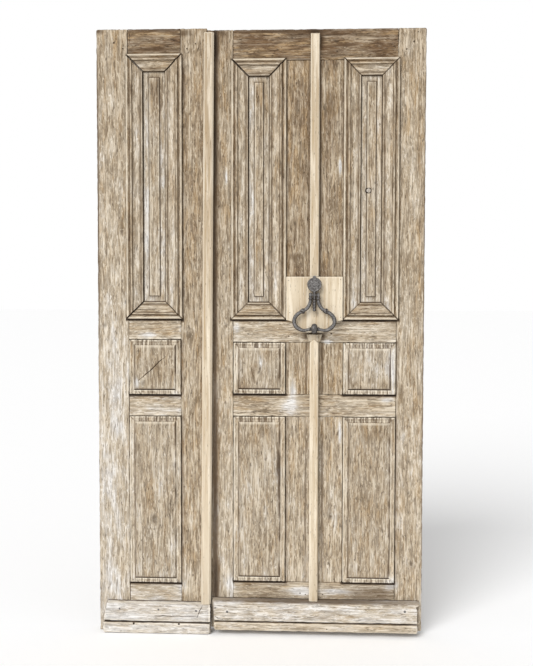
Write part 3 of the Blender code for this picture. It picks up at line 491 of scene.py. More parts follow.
def make_forged_iron(colours):
    """Forged iron: hammered and waxed; its mesh carries painted shade on the sides turned from the light
    and dark in its hollows, laid over in near black brown.
    """
    material, tree, shader = start_material("waxed_iron")
    place = add_node(tree, 'ShaderNodeTexCoord').outputs["Object"]
    dents, pitting = (
        add_node(tree, 'ShaderNodeTexNoise', {"Vector": place, "Scale": 1 / size, "Detail": detail})
        for size, detail in ((5 * MM, 4.0), (1.6 * MM, 2.0)))
    darker = [0.6 * channel for channel in colours.iron]
    colour = paint_over(tree, rgba(colours.iron), rgba(darker), dents.outputs["Fac"], 0.42, 0.62, 1.0)
    # painted shade and dark hollows, carried on the mesh
    dirt_and_shade = add_node(tree, 'ShaderNodeAttribute', attribute_name="grime_and_shade").outputs["Fac"]
    colour = add_node(tree, 'ShaderNodeMix', {0: dirt_and_shade, 6: colour, 7: rgba(colours.grime_and_shade)}, data_type='RGBA')
    tree.links.new(colour.outputs[2], shader.inputs["Base Color"])
    polish = add_node(tree, 'ShaderNodeMapRange',
                      {"Value": dents.outputs["Fac"], "From Max": 0.6, "To Min": 0.3, "To Max": 0.75})
    tree.links.new(polish.outputs[0], shader.inputs["Roughness"])
    shader.inputs["Metallic"].default_value = 0.7
    height = add_node(tree, 'ShaderNodeMath', {0: pitting.outputs["Fac"], 1: 0.3, 2: dents.outputs["Fac"]},
                      operation='MULTIPLY_ADD')
    bump = add_node(tree, 'ShaderNodeBump',
                    {"Height": height.outputs[0], "Strength": 0.35, "Distance": 0.5 * MM})
    tree.links.new(bump.outputs["Normal"], shader.inputs["Normal"])
    return material


def make_dark_hole(colours):
    """The shadowed inside of a nail hole: dry dirt, wholly matt."""
    material, _, shader = start_material("nail_hole")
    shader.inputs["Base Color"].default_value = rgba(colours.grime_and_shade)
    shader.inputs["Roughness"].default_value = 1.0
    return material


MAKERS = {
    "old_oak": make_old_oak,
    "planed_oak": make_newer_oak,
    "waxed_iron": make_forged_iron,
    "nail_hole": make_dark_hole,
}


def finish_named(name):
    """The material of that name, made when it is first asked for."""
    found = bpy.data.materials.get(name)
    return found or MAKERS[name](bpy.context.scene.oak_door_colours)


def merged_solid(node):
    """A copy of a solid's mesh with its loose triangles merged into flat faces."""
    bm = bmesh.new()
    bm.from_mesh(frame["nodes"][node].data)
    bmesh.ops.remove_doubles(bm, verts=bm.verts, dist=0.01 * MM)
    bmesh.ops.dissolve_limit(bm, angle_limit=math.radians(0.5), verts=bm.verts, edges=bm.edges)
    return bm


def into_mesh(bm, name):
    """A mesh of what is in bm, which is freed."""
    mesh = bpy.data.meshes.new(name)
    bm.to_mesh(mesh)
    bm.free()
    return mesh


def into_object(data, name):
    """An object in the scene that holds a mesh, a light or a camera."""
    made = bpy.data.objects.new(name, data)
    bpy.context.scene.collection.objects.link(made)
    return made


def on_a_skin(vertex):
    """True for a point on the front or back of the door, and false for one inside a joint."""
    return vertex.co.y < JOINERY_FRONT or vertex.co.y > JOINERY_BACK


def ease_arrises(bm, radius, sharper_than=25.0):
    """Round the edges that a hand could touch."""
    edges = [edge for edge in bm.edges
             if edge.is_manifold and edge.calc_face_angle() > math.radians(sharper_than)
             and all(on_a_skin(vertex) for vertex in edge.verts)]
    bmesh.ops.bevel(bm, geom=edges, offset=radius, offset_type='OFFSET', affect='EDGES', segments=2,
                    profile=0.5, material=-1, clamp_overlap=True)


def even_places(low, high, spacing, closer=()):
    """Places of cuts between low and high, evenly spaced, and closer ones that push others away."""
    spacing *= 1.0
    count = max(1, round((high - low) / spacing))
    step = (high - low) / count
    kept = sorted({place for place in closer if low < place < high})
    even = [low + step * index for index in range(1, count)]
    return kept + [place for place in even if all(abs(place - near) > step / 3 for near in kept)]


def cut_at(bm, place, normal):
    """Cut every face with a plane through a place."""
    bmesh.ops.bisect_plane(bm, geom=bm.verts[:] + bm.edges[:] + bm.faces[:], dist=0.002 * MM,
                           plane_co=place, plane_no=normal)


def cut_across(bm, axis, places):
    """Cut every face with planes square to an axis."""
    normal = Vector([float(index == axis) for index in range(3)])
    for place in places:
        cut_at(bm, normal * place, normal)


def cut_into_strips(bm, node, axis, edges_across=(), edges_along=()):
    """Cut a board into strips along its grain and runs across it, closer at its ends and at its knots.

    edges_across and edges_along are distances in from the board's sides and ends that get a cut too.
    """
    wood = bpy.context.scene.oak_door_wood
    low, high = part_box(node)
    other = Z - axis
    closer_across = [side + sign * step for step in edges_across
                     for side, sign in ((low[other], 1), (high[other], -1))]
    closer_along = [end + sign * step for step in edges_along
                    for end, sign in ((low[axis], 1), (high[axis], -1))]
    for x, z, radius, _ in KNOTS:
        if low.x <= x <= high.x and low.z <= z <= high.z:
            closer_along += [(x if axis == X else z) + radius * share / 2 for share in range(-4, 5)]
    cut_across(bm, other, even_places(low[other], high[other], wood.strip, closer_across))
    cut_across(bm, axis, even_places(low[axis], high[axis], wood.run, closer_along))


def rows_of(data, field):
    """A vector field of a mesh's data as an array of rows."""
    flat = np.zeros(len(data) * 3, np.float32)
    data.foreach_get(field, flat)
    return flat.reshape(-1, 3).astype(float)


def points_of(mesh):
    """All vertex places as an array."""
    return rows_of(mesh.vertices, "co")


def normals_of(mesh):
    """All vertex normals as an array."""
    return rows_of(mesh.vertex_normals, "vector")


def move_to(mesh, points):
    """Put the vertices at the places in an array."""
    mesh.vertices.foreach_set("co", points.astype(np.float32).ravel())


def store(mesh, name, values, kind='FLOAT'):
    """Keep a value for each vertex."""
    layer = mesh.attributes.new(name, kind, 'POINT')
    field = "vector" if kind == 'FLOAT_VECTOR' else "value"
    layer.data.foreach_set(field, np.asarray(values, np.float32).ravel())


def streaks(grain, across, along, octaves=2):
    """Noise about 0 drawn out along the grain, at grain places, for grains of that size."""
    scaled = grain / np.array((across, across, along))
    return np.array([noise.fractal(point, 0.8, 2.1, octaves) for point in scaled.tolist()])


def step_down(distance, width):
    """1 where distance is 0, falling smoothly to 0 at width."""
    share = np.clip(1 - np.abs(distance) / width, 0, 1)
    return share * share * (3 - 2 * share)


def board_seed(name):
    """A shift of the grain that is the same each run and different for each board."""
    number = sum((index + 1) * ord(letter) for index, letter in enumerate(name))
    return np.array((number % 17 * 0.731, number % 13 * 0.417, number % 23 * 1.193))


def grain_places(points, axis, name):
    """Places in the board's own grain (across, through, along), bent round its knots."""
    other = Z - axis
    across, through, along = points[:, other].copy(), points[:, Y], points[:, axis]
    knot = np.zeros(len(points))
    for x, z, radius, dark in KNOTS:
        place = {X: x, Z: z}
        off_across = points[:, other] - place[other]
        off_along = (points[:, axis] - place[axis]) / 2.2
        near = np.exp(-(off_across ** 2 + off_along ** 2) / (radius * 1.5) ** 2)
        across -= off_across * near * 0.85
        core = np.exp(-(off_across ** 2 + (off_along * 1.6) ** 2) / radius ** 2 * 2)
        knot = np.maximum(knot, dark * core)
    grain = np.stack((across, through, along), axis=1) + board_seed(name)
    wander = streaks(grain, 0.06, 0.34, 1)
    grain[:, 0] += wander * 5 * MM
    return grain, knot


def paleness(points, top, foot):
    """How bleached a board is, from its top to its foot."""
    low, high = points[:, Z].min(), points[:, Z].max()
    share = (points[:, Z] - low) / max(high - low, MM)
    return foot + (top - foot) * share


# Patches of tone, as x, z, half width, half height, how much: above 0 bleached where water has stood or a
# repair was scraped clean, below 0 brown where oil was kept
PATCHES = [
    (0.758, -0.215, 0.018, 0.034, 0.3), (0.742, -0.275, 0.028, 0.026, 0.3),
    (1.14, -0.965, 0.03, 0.035, 0.5), (0.79, -1.0, 0.05, 0.016, 0.65), (0.93, -1.0, 0.06, 0.012, 0.6),
    (0.52, -0.975, 0.02, 0.04, 0.3), (0.33, -0.985, 0.02, 0.03, 0.3), (0.5, 0.61, 0.006, 0.03, 0.45),
    (0.3, -0.23, 0.02, 0.02, 0.3), (0.2, 0.0, 0.035, 0.014, 0.35), (0.338, 0.02, 0.03, 0.02, 0.25),
    (0.892, -0.028, 0.016, 0.008, 0.7), (1.115, -0.25, 0.025, 0.01, 0.5), (0.54, 0.03, 0.015, 0.025, 0.4),
    (0.755, -0.18, 0.014, 0.1, 0.2), (1.14, -0.13, 0.01, 0.09, 0.35), (0.94, -0.38, 0.006, 0.04, 0.6),
    (0.936, 0.645, 0.007, 0.034, 0.95), (0.15, -0.19, 0.014, 0.03, 0.45), (0.06, -0.3, 0.03, 0.35, 0.12),
    (0.606, -0.135, 0.014, 0.03, -0.4), (0.634, -0.112, 0.008, 0.022, 0.3),
    (0.56, -0.205, 0.03, 0.025, -0.3), (1.0, -0.19, 0.035, 0.02, -0.25),
    (1.11, -0.19, 0.025, 0.02, -0.25), (0.225, 0.93, 0.03, 0.07, -0.25), (0.64, 0.9, 0.02, 0.08, -0.2),
    (0.24, -0.17, 0.04, 0.04, -0.15), (0.18, -0.62, 0.03, 0.15, -0.12), (0.6, -0.4, 0.04, 0.04, -0.2),
    (1.08, -0.38, 0.04, 0.03, -0.2), (1.07, -1.005, 0.09, 0.024, -0.06), (0.77, 0.25, 0.02, 0.06, -0.2),
]


def patches_of_tone(points):
    """How much paler or browner each point is than its board."""
    extra = np.zeros(len(points))
    for x, z, wide, tall, amount in PATCHES:
        extra += amount * np.exp(-((points[:, X] - x) / wide) ** 2 - ((points[:, Z] - z) / tall) ** 2)
    return extra


# Soft dark places, as x, z, half width, half height, how dark: soiling, and painted shadow under and
# between the knocker's parts, beside the strips, inside the near lower panel's right edge and in the gaps
# at the leaves' edges and feet
DARK_PLACES = {
    "knocker_board": [(0.84, 0.138, 0.0115, 0.032, 0.88), (0.84, 0.163, 0.021, 0.006, 0.8),
                      (0.84, 0.086, 0.009, 0.008, 0.35), (0.852, 0.084, 0.004, 0.01, 0.35)],
    "right_lock_rail": [(0.84, 0.001, 0.03, 0.008, 0.55), (0.874, -0.008, 0.008, 0.014, 0.55),
                        (0.806, -0.004, 0.008, 0.012, 0.5)],
    "right_meeting_stile": [(0.458, 1.11, 0.016, 0.09, 0.95), (0.457, 0.8, 0.013, 0.4, 0.8),
                            (0.456, 0.2, 0.01, 0.5, 0.65), (0.457, -0.6, 0.011, 0.48, 0.7),
                            (0.458, -0.96, 0.014, 0.1, 0.85),
                            (0.47, 1.15, 0.04, 0.014, 0.45), (0.452, 1.14, 0.004, 0.008, 0.8)],
    "right_top_rail": [(0.84, 1.152, 0.045, 0.009, 0.85), (0.864, 1.12, 0.009, 0.03, 0.65),
                       (0.7, 1.154, 0.2, 0.007, 0.55), (0.95, 1.1, 0.05, 0.006, 0.35)],
    "right_bottom_rail": [(1.07, -1.008, 0.12, 0.03, 0.34), (0.69, -1.008, 0.12, 0.03, 0.12)],
    "right_near_lower_panel": [(0.703, -0.5, 0.006, 0.06, 0.75), (0.705, -0.6, 0.005, 0.05, 0.6)],
    "right_upper_muntin": [(0.86, 0.7, 0.005, 0.5, 0.5), (0.817, 0.7, 0.004, 0.5, 0.35),
                           (0.77, 0.3, 0.03, 0.012, 0.3), (0.9, 0.88, 0.02, 0.06, 0.3)],
    "right_middle_muntin": [(0.871, -0.13, 0.004, 0.15, 0.45), (0.809, -0.13, 0.003, 0.15, 0.4)],
    "right_lower_muntin": [(0.872, -0.64, 0.004, 0.33, 0.45), (0.808, -0.64, 0.003, 0.33, 0.4)],
    "left_hanging_stile": [(0.01, 1.16, 0.02, 0.008, 0.5), (0.004, 0.5, 0.003, 0.6, 0.6)],
    "left_top_rail": [(0.225, 1.163, 0.1, 0.006, 0.5), (0.225, 1.09, 0.1, 0.006, 0.35)],
    "left_meeting_stile": [(0.33, 1.15, 0.04, 0.012, 0.45), (0.338, 0.95, 0.005, 0.09, 0.35)],
    "right_plinth_board": [(0.84, -1.033, 0.45, 0.009, 0.55), (0.446, -1.09, 0.006, 0.06, 0.7)],
    "left_plinth_board": [(0.424, -1.09, 0.004, 0.06, 0.5)],
    "right_hanging_stile": [(1.257, 0.0, 0.003, 1.0, 0.5)],
}


def dark_places_at(node, points):
    """How dark each point of a node is from its soft dark places of soiling and painted shadow."""
    dirt_and_shade = np.zeros(len(points))
    for x, z, wide, tall, amount in DARK_PLACES.get(node, ()):
        near = np.exp(-((points[:, X] - x) / wide) ** 2 - ((points[:, Z] - z) / tall) ** 4)
        dirt_and_shade = np.maximum(dirt_and_shade, amount * near)
    return dirt_and_shade


def opening_shade_and_crust(points, patchy):
    """Painted shadow and white crust on the frame round the panels: darkest below and right of each panel,
    where its proud rim or moulding would cast shadow, fainter above and left; crust mostly above.
    """
    dirt_and_shade, crust = np.zeros(len(points)), np.zeros(len(points))
    for node in (*RAISED_PANELS, *BORDERED_PANELS):
        raised = node in RAISED_PANELS
        low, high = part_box(node)
        lap = TONGUE if raised else TONGUE - MOULDING_LAP
        left, right = low.x + lap, high.x - lap
        foot, top = low.z + lap, high.z - lap
        beside = (points[:, Z] > foot - 3 * MM) & (points[:, Z] < top + 3 * MM)
        in_span = (points[:, X] > left - 3 * MM) & (points[:, X] < right + 3 * MM)
        sides = (1.2 if raised else 0.7) * (0.3 + 0.7 * patchy)
        for gap, near, reach, amount in ((foot - points[:, Z], in_span, 10 * MM, 2.0),
                                         (points[:, Z] - top, in_span, 3 * MM, 0.50 * patchy),
                                         (points[:, X] - right, beside, 6 * MM, 0.80 * sides),
                                         (points[:, X] - right, beside, 16 * MM, 0.35 * raised),
                                         (foot - points[:, Z], in_span, 20 * MM, 0.30 * raised),
                                         (left - points[:, X], beside, 3.5 * MM, 0.40 * sides)):
            dirt_and_shade = np.maximum(dirt_and_shade, step_down(gap, reach) * near * amount)
        if raised:
            crust = np.maximum(crust, step_down(points[:, Z] - top - 5 * MM, 7 * MM) * in_span)
            crust = np.maximum(crust, step_down(points[:, X] - right - 6 * MM, 6 * MM) * beside * 0.6)
    return np.clip(dirt_and_shade, 0, 1), crust


class Board:
    """One wooden piece on its way from merged solid to finished object."""

    def __init__(self, node, axis, tones, slot="weathered_oak", material="old_oak"):
        self.node = node
        self.axis = axis
        self.tones = tones
        self.material = material
        self.slot = slot
        self.low, self.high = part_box(node)
        self.middle = (self.low + self.high) / 2
        self.wood = bpy.context.scene.oak_door_wood
        self.bm = merged_solid(node)

    x = property(lambda self: self.points[:, X], doc="Places across the leaves")
    y = property(lambda self: self.points[:, Y], doc="Places through the leaves")
    z = property(lambda self: self.points[:, Z], doc="Places up the leaves")

    def cut(self, arris, edges_across=(), edges_along=()):
        """Round the arrises and cut the board into strips."""
        ease_arrises(self.bm, arris)
        cut_into_strips(self.bm, self.node, self.axis, edges_across, edges_along)
        self.end_cutting()

    def end_cutting(self):
        """Turn the cut solid into the mesh that is worn and painted."""
        self.bm.normal_update()
        self.mesh = into_mesh(self.bm, f"{self.node}_wood")
        self.points = points_of(self.mesh)
        self.grain, self.knot = grain_places(self.points, self.axis, self.node)
        self.skin = (self.y < JOINERY_FRONT) | (self.y > JOINERY_BACK)

    def edge_distances(self):
        """Distances in from the front outline: to the nearest edge, to the sides and to the ends."""
        across, upright = (np.minimum(self.points[:, axis] - self.low[axis],
                                      self.high[axis] - self.points[:, axis]) for axis in (X, Z))
        return np.minimum(across, upright), across, upright

    def uneven(self, across, along, middle, swing, least=0, most=1, octaves=2):
        """A share that wanders from its middle by its swing, in grains of that many millimetres."""
        pattern = streaks(self.grain, across * MM, along * MM, octaves)
        return np.clip(middle + swing * pattern, least, most)

    def wear(self, depth, worn_in):
        """Press the surface in, between fibres by depth and by a further worn_in at each point."""
        hollows = self.uneven(6.5, 75, 0.5, -0.9, octaves=3)
        press = (depth * hollows + worn_in) * self.skin
        moved = self.points - normals_of(self.mesh) * press[:, None]
        move_to(self.mesh, moved)
        self.relief = hollows * (depth > 0)

    def round_corners(self, radius, corners):
        """Bend the outline round its corners, each given as its side along X and along Z."""
        for side_x, side_z in corners:
            edge_x = self.high.x if side_x > 0 else self.low.x
            edge_z = self.high.z if side_z > 0 else self.low.z
            across = (self.x - edge_x) * side_x + radius
            upright = (self.z - edge_z) * side_z + radius
            bent = (across > 0) & (upright > 0)
            far = np.hypot(across, upright)
            share = np.where(bent, np.maximum(across, upright) / np.maximum(far, 0.01 * MM), 1.0)
            self.points[:, X] += np.where(bent, across * (share - 1) * side_x, 0.0)
            self.points[:, Z] += np.where(bent, upright * (share - 1) * side_z, 0.0)

    def finish(self, grime_and_shade, worn, coarse=0.0, pale=0.0):
        """Store what the material reads, and make the object."""
        face = self.y < JOINERY_FRONT
        tone = paleness(self.points, *self.tones) + patches_of_tone(self.points) * face
        store(self.mesh, "grain", self.grain, 'FLOAT_VECTOR')
        store(self.mesh, "knot", self.knot)
        store(self.mesh, "relief", self.relief)
        # Dark share: dirty joints plus painted shade and shadow, from the board's own marks and its dark
        # places.
        dirt_and_shade = np.maximum(grime_and_shade, dark_places_at(self.node, self.points) * face)
        store(self.mesh, "grime_and_shade", np.clip(dirt_and_shade, 0, 1))
        # worn: rubbed paler wood, and on panels, mouldings and strips also painted highlights on edges
        # facing the light.
        store(self.mesh, "worn", np.clip(worn, 0, 1))
        store(self.mesh, "coarse", coarse + np.zeros(len(self.points)))
        store(self.mesh, "pale", tone + pale)
        add_piece(self.mesh, self.node, self.material, self.slot)


def add_piece(mesh, node, material, slot):
    """Make a finished object that stands for a solid and rides on its body."""
    if "custom_normal" in mesh.attributes:
        mesh.attributes.remove(mesh.attributes["custom_normal"])
    mesh.materials.clear()
    mesh.materials.append(finish_named(material))
    mesh.shade_smooth()
    mesh.set_sharp_from_angle(angle=math.radians(50))
    piece = into_object(mesh, f"{node}_dressed")
    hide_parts(node)
    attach(piece, BODY_OF[node])


def crumbled(board, distance, reach, depth):
    """How far the wood has crumbled near an edge, in uneven bites."""
    return depth * step_down(distance, reach) * board.uneven(14, 22, 0.25, 1.8, octaves=3) ** 2


def dress_frame_member(node, axis, *tones):
    """A stile, rail or muntin: fibres, crumbled arrises and dirt along its joints."""
    board = Board(node, axis, tones)
    near = (2.2 * MM, 4.5 * MM, 8 * MM)
    board.cut(board.wood.arris, near, near)
    distance = board.edge_distances()[0]
    board.round_corners(8 * MM, ROUNDED.get(node, ()))
    board.wear(board.wood.fibre_depth, crumbled(board, distance, 6 * MM, board.wood.chip_depth))
    patchy = board.uneven(26, 45, 0.45, 2.0)
    grime_and_shade = np.maximum(step_down(distance, 2.6 * MM) * 0.9, step_down(distance, 9 * MM) * 0.25) * patchy
    grime_and_shade *= np.interp(board.z, (-1.0, 0.1, 1.0), (0.8, 0.6, 1.0))
    grime_and_shade[np.abs(normals_of(board.mesh)[:, Y]) < 0.5] *= 0.2
    front = board.y < JOINERY_FRONT
    # painted shadow below and right of the panels, fainter above and left, and white crust
    dirt_and_shade, crust = opening_shade_and_crust(board.points, patchy)
    grime_and_shade = np.maximum(grime_and_shade, dirt_and_shade * front)
    flaky = board.uneven(11, 28, 0.15, 2.2, octaves=3)
    worn = np.maximum(step_down(distance - 4.5 * MM, 3 * MM) * 0.30 * patchy, crust * flaky * front)
    board.finish(grime_and_shade, worn)


def rim_distances(board):
    """Distances in from a panel's visible edge: to the nearest side, to its sides and to its ends."""
    return (distance - TONGUE for distance in board.edge_distances())


def dress_raised_panel(node, axis, *tones):
    """A raised panel: proud rim, hollow band with open end grain, and a strongly figured field."""
    board = Board(node, axis, tones)
    band = [TONGUE + step * MM for step in (2.4, 4, 6, 8, 10, 12, 14, 16, 17.6, 19.4, 21.8, 24, 27)]
    board.cut(0.5 * MM, [TONGUE + step * MM for step in (2.4, 17.6, 19.4, 21.8, 24)], band)
    nearest, across, upright = rim_distances(board)
    front = board.y < FACE - 0.5 * MM
    end_band = front * (upright < across) * (upright < FIELD)
    fingers = board.uneven(4, 60, 0.45, 1.8)
    eroded = end_band * fingers * 1.5 * MM
    eroded += crumbled(board, nearest, 7 * MM, board.wood.chip_depth) * front
    board.wear(board.wood.fibre_depth, eroded)
    right = (board.x > board.middle.x) & (across < upright)
    left = (board.x < board.middle.x) & (across < upright)
    low_side = (board.z < board.middle.z) & (upright < across)
    on_top = (upright < across) & ~low_side
    # Painted shade: dark lines at the field's step and round the rim, heaviest below and on the right, and
    # a painted shadow spreading into the field from its step; painted highlights, stored as worn, along the
    # band's edges and the field's top; the left band painted paler and the right darker. The end grain's
    # dark fingers and the mitre lines are the wood's own.
    uneven = board.uneven(24, 60, 0.6, 1.6, 0.1)
    side_band = front * (nearest < BAND_END)
    line_side = np.select([low_side, right, left], [1.0, 0.65 * uneven, 0.45 * uneven], 0.05)
    step_line = np.clip(step_down(nearest - FIELD + 0.2 * MM, 3.6 * MM) * 1.7, 0, 1) * front
    shadow = step_down(nearest - FIELD, 10 * MM) * (nearest > BAND_END) * front
    mitre = step_down(across - upright, 3 * MM) * side_band
    grime_and_shade = np.maximum.reduce([step_line * line_side, mitre * 0.2,
                               shadow * np.select([low_side, right, left], [0.35, 0.65 * uneven, 0.30]),
                               step_down(nearest, 1.6 * MM) * 0.4 * uneven,
                               step_down(nearest, 5 * MM) * low_side * front,
                               end_band * fingers * np.where(on_top, 0.40, 0.25)])
    lit = np.select([low_side, right, left], [0.85, 0.55, 0.25], 0.20)
    worn = step_down(nearest - 16.5 * MM, 3.2 * MM) * front * lit
    lit = np.select([low_side, right], [0.25, 0.30], 0.75)
    worn += step_down(nearest - 3.6 * MM, 3.6 * MM) * front * lit
    worn += end_band * (1 - fingers) * np.where(low_side, 0.35, 0.20)
    worn += step_down(nearest - FIELD - 4 * MM, 5 * MM) * front * np.where(on_top, 0.45, 0.10)
    pale = side_band * (0.03 * left - 0.05 * right)
    coarse = end_band * fingers * 0.9 + front * (nearest > FIELD) * 0.35
    board.finish(grime_and_shade, worn, coarse, pale)


def dress_bordered_panel(node, axis, *tones):
    """An upper panel: the narrow raised field between its borders, inside the moulding."""
    board = Board(node, axis, tones)
    steps = [TONGUE + step * MM for step in (60, 62.5, 65, 79, 81, 83.5, 86)]
    board.cut(0.4 * MM, steps, steps)
    nearest, across, upright = rim_distances(board)
    front = board.y < FACE + 8 * MM
    field_edge = nearest - UPPER_FIELD
    end = upright < across
    chipped = crumbled(board, field_edge, 4 * MM, board.wood.chip_depth * 0.5) * front
    board.wear(board.wood.fibre_depth * 0.9, chipped)
    # Painted shade: a dark line round the field, strongest on its right, and under the moulding's inner
    # edge; painted highlights, stored as worn, just inside the field and on the border, stronger on the
    # left; the border painted paler, more on the left, and the field a little darker.
    line = step_down(field_edge + 0.6 * MM, 2.4 * MM) * front
    right = board.x > board.middle.x
    grime_and_shade = line * np.where(end, 0.60, np.where(right, 0.95, 0.70))
    grime_and_shade = np.maximum(grime_and_shade, step_down(nearest - UNDER_MOULDING, 4 * MM) * front * 0.9)
    worn = step_down(field_edge - 3.5 * MM, 3 * MM) * front * np.where(right, 0.15, 0.45)
    worn += step_down(field_edge + 18 * MM, 3 * MM) * front * np.where(right, 0.20, 0.40)
    pale = front * (field_edge < 0) * np.where(right, 0.04, 0.13) - front * (field_edge > 0) * 0.08
    coarse = front * (field_edge > 0) * 0.35
    board.finish(grime_and_shade, worn, coarse, pale)


def dress_moulding(prefix, side, *tones):
    """One length of planted moulding, worn along its members and open at a tired mitre."""
    axis = X if side in ("top", "bottom") else Z
    other = Z - axis
    board = Board(f"{prefix}_{side}", axis, tones)
    low, high = board.low, board.high
    ease_arrises(board.bm, 0.35 * MM, 12.0)
    cut_across(board.bm, axis, even_places(low[axis], high[axis], board.wood.run))
    outer_is_low = side in ("left", "bottom")
    for end, sign in ((low, 1), (high, -1)):
        corner, normal = Vector(), Vector()
        corner[axis] = end[axis]
        corner[other] = low[other] if outer_is_low else high[other]
        normal[axis] = sign
        normal[other] = -1 if outer_is_low else 1
        normal.normalize()
        for gap in (1.2 * MM, 3 * MM, 5 * MM):
            cut_at(board.bm, corner + normal * gap, normal)
    board.end_cutting()
    board.skin = board.y < FACE + 4 * MM
    inward = board.points[:, other] - low[other] if outer_is_low else high[other] - board.points[:, other]
    board.wear(0.35 * MM, 0.0)

    # opened mitres
    from_low, from_high = board.points[:, axis] - low[axis], high[axis] - board.points[:, axis]
    mitre, at_low = (np.minimum(from_low, from_high) - inward) / math.sqrt(2), from_low < from_high
    corners = {"top": (0, 1), "bottom": (2, 3), "left": (2, 0), "right": (3, 1)}[side]
    openness = np.where(at_low, *(OPEN_MITRES[prefix][corner] for corner in corners))
    gap = np.clip(step_down(mitre, 3 * MM) * openness, 0, 1)
    board.points = points_of(board.mesh)
    board.points[:, axis] += np.where(at_low, 1, -1) * gap * 1.5 * MM
    move_to(board.mesh, board.points)

    # painted shade in the quirk, scotia and the cove's end, along both edges and in the opened mitres, more
    # of it where the light from the upper left doesn't reach
    front = board.y < FACE - 2 * MM
    shade, shade_inside, lit = {"left": (0.8, 1.0, 0.55), "top": (0.7, 0.9, 0.6),
                                "bottom": (1.0, 0.6, 0.6), "right": (0.75, 0.5, 0.35)}[side]
    patchy = board.uneven(30, 70, 0.8, 1.3, 0.45, 1.05)
    grime_and_shade = np.maximum.reduce([step_down(inward - QUIRK, 2.4 * MM) * front * 0.95 * shade * patchy,
                               step_down(inward, 1.8 * MM) * 0.9 * patchy,
                               step_down(inward - INNER_EDGE, 2.6 * MM) * shade_inside * 0.95 * patchy,
                               gap,
                               step_down(mitre, 4.5 * MM) * openness * 0.5,
                               step_down(inward - SCOTIA, 3 * MM) * front * 0.55 * shade,
                               step_down(inward - COVE_END, 1.8 * MM) * front * 0.5 * shade])
    # painted highlights, stored as worn, on the crests of the bead and fillets, stronger on the lit
    # lengths; the cove painted paler, more on the upright lengths, and the hollow darker
    crest = sum(step_down(inward - member, reach)
                for member, reach in ((BEAD, 4.5 * MM), (FILLET, 3 * MM), (INNER_FILLET, 3.2 * MM)))
    cove = np.exp(-((inward - COVE) / (11 * MM)) ** 2)
    pale = cove * (0.20 if axis == Z else 0.10) - step_down(inward - HOLLOW, 6 * MM) * 0.16
    board.finish(grime_and_shade, crest * lit * front * (1 - gap), pale=pale)


def dress_strip(node, axis, *tones):
    """A planed strip or board that stands proud of the frame."""
    cover = node == "left_cover_strip"
    board = Board(node, axis, tones, "weathered_oak" if cover else "newer_oak", "planed_oak")
    board.cut(0.6 * MM, [1.6 * MM, 4 * MM], [2 * MM, 5 * MM])
    distance = board.edge_distances()[0]
    board.wear(0.2 * MM, crumbled(board, distance, 3 * MM, 0.5 * MM))
    # Painted shade on faces turned right, away from the light, and painted highlights, stored as worn, on
    # faces turned left; the cover strip gets painted highlights on both sides and is paler towards its
    # foot.
    turned = normals_of(board.mesh)[:, X]
    proud = board.y < FACE - 8 * MM
    if cover:
        dark_side, lit_side = np.zeros(len(turned)), (np.abs(turned) > 0.25) * 0.3
        lit_side = np.maximum(lit_side, np.interp(board.z, (-1.0, 0.2), (0.35, 0.0)))
    else:
        dark_side, lit_side = turned > 0.25, (turned < -0.25) * 0.6
    worn = np.maximum(step_down(distance - 1.5 * MM, 3 * MM) * 0.5, lit_side) * proud
    if node == "knocker_board":
        worn = np.maximum(worn, 0.08)
    # painted shade where the strip sits down on the frame, and on its right side
    grime_and_shade = np.maximum((board.y > FACE - 3 * MM) * 0.6, dark_side * proud * 0.30)
    damp = np.interp(board.z, (-1.05, -0.80), (0.16, 0.0))
    grime_and_shade = np.maximum(grime_and_shade, damp * proud)
    if node == "centre_strip_lower":
        head = (board.z > HEAD_FOOT) & (board.y > FACE - 16 * MM) & proud
        facet = np.clip(np.abs(board.x - board.middle.x) / (30 * MM), 0, 1)
        grime_and_shade = np.maximum(grime_and_shade, head * (0.08 + 0.30 * facet))
        worn = worn * (1 - head)
    board.finish(grime_and_shade, worn)


def dress_foot(node, axis, *tones):
    """A plinth board or drip moulding: scrubbed nearly white, with crumbled edges."""
    board = Board(node, axis, tones, "bleached_oak")
    board.cut(1.2 * MM, [2 * MM, 5 * MM], [2 * MM, 5 * MM])
    distance = board.edge_distances()[0]
    board.round_corners(9 * MM, ROUNDED.get(node, ()))
    board.wear(board.wood.fibre_depth * 1.2, crumbled(board, distance, 8 * MM, board.wood.chip_depth))
    proud = board.y < FACE - 3 * MM
    patchy = np.clip(0.6 + 1.1 * streaks(board.grain, 20 * MM, 60 * MM, 2), 0.1, 1)
    grime_and_shade = (~proud) * 0.8 + step_down(distance, 2.0 * MM) * 0.45 * patchy
    grime_and_shade += step_down(board.high.z - board.z, 3 * MM) * 0.5
    worn = step_down(distance - 5 * MM, 4 * MM) * proud * 0.4
    board.finish(grime_and_shade, worn)


class DOOR_OT_frame_members(bpy.types.Operator):
    """Dress the stiles, rails and muntins of both leaves"""

    bl_idname = "oak_door.frame_members"
    bl_label = "Stiles, rails and muntins"

    def execute(self, context):
        for node, board in {**STILES, **RAILS}.items():
            dress_frame_member(node, *board)
        return {'FINISHED'}


class DOOR_OT_panels(bpy.types.Operator):
    """Dress the raised panels and the bordered upper panels"""

    bl_idname = "oak_door.panels"
    bl_label = "Panels"

    def execute(self, context):
        for node, board in RAISED_PANELS.items():
            dress_raised_panel(node, *board)
        for node, board in BORDERED_PANELS.items():
            dress_bordered_panel(node, *board)
        return {'FINISHED'}


class DOOR_OT_mouldings(bpy.types.Operator):
    """Dress the mitred mouldings round the upper panels"""

    bl_idname = "oak_door.mouldings"
    bl_label = "Mouldings"

    def execute(self, context):
        for prefix, tones in MOULDINGS.items():
            for side in ("top", "bottom", "left", "right"):
                dress_moulding(prefix, side, *tones)
        return {'FINISHED'}


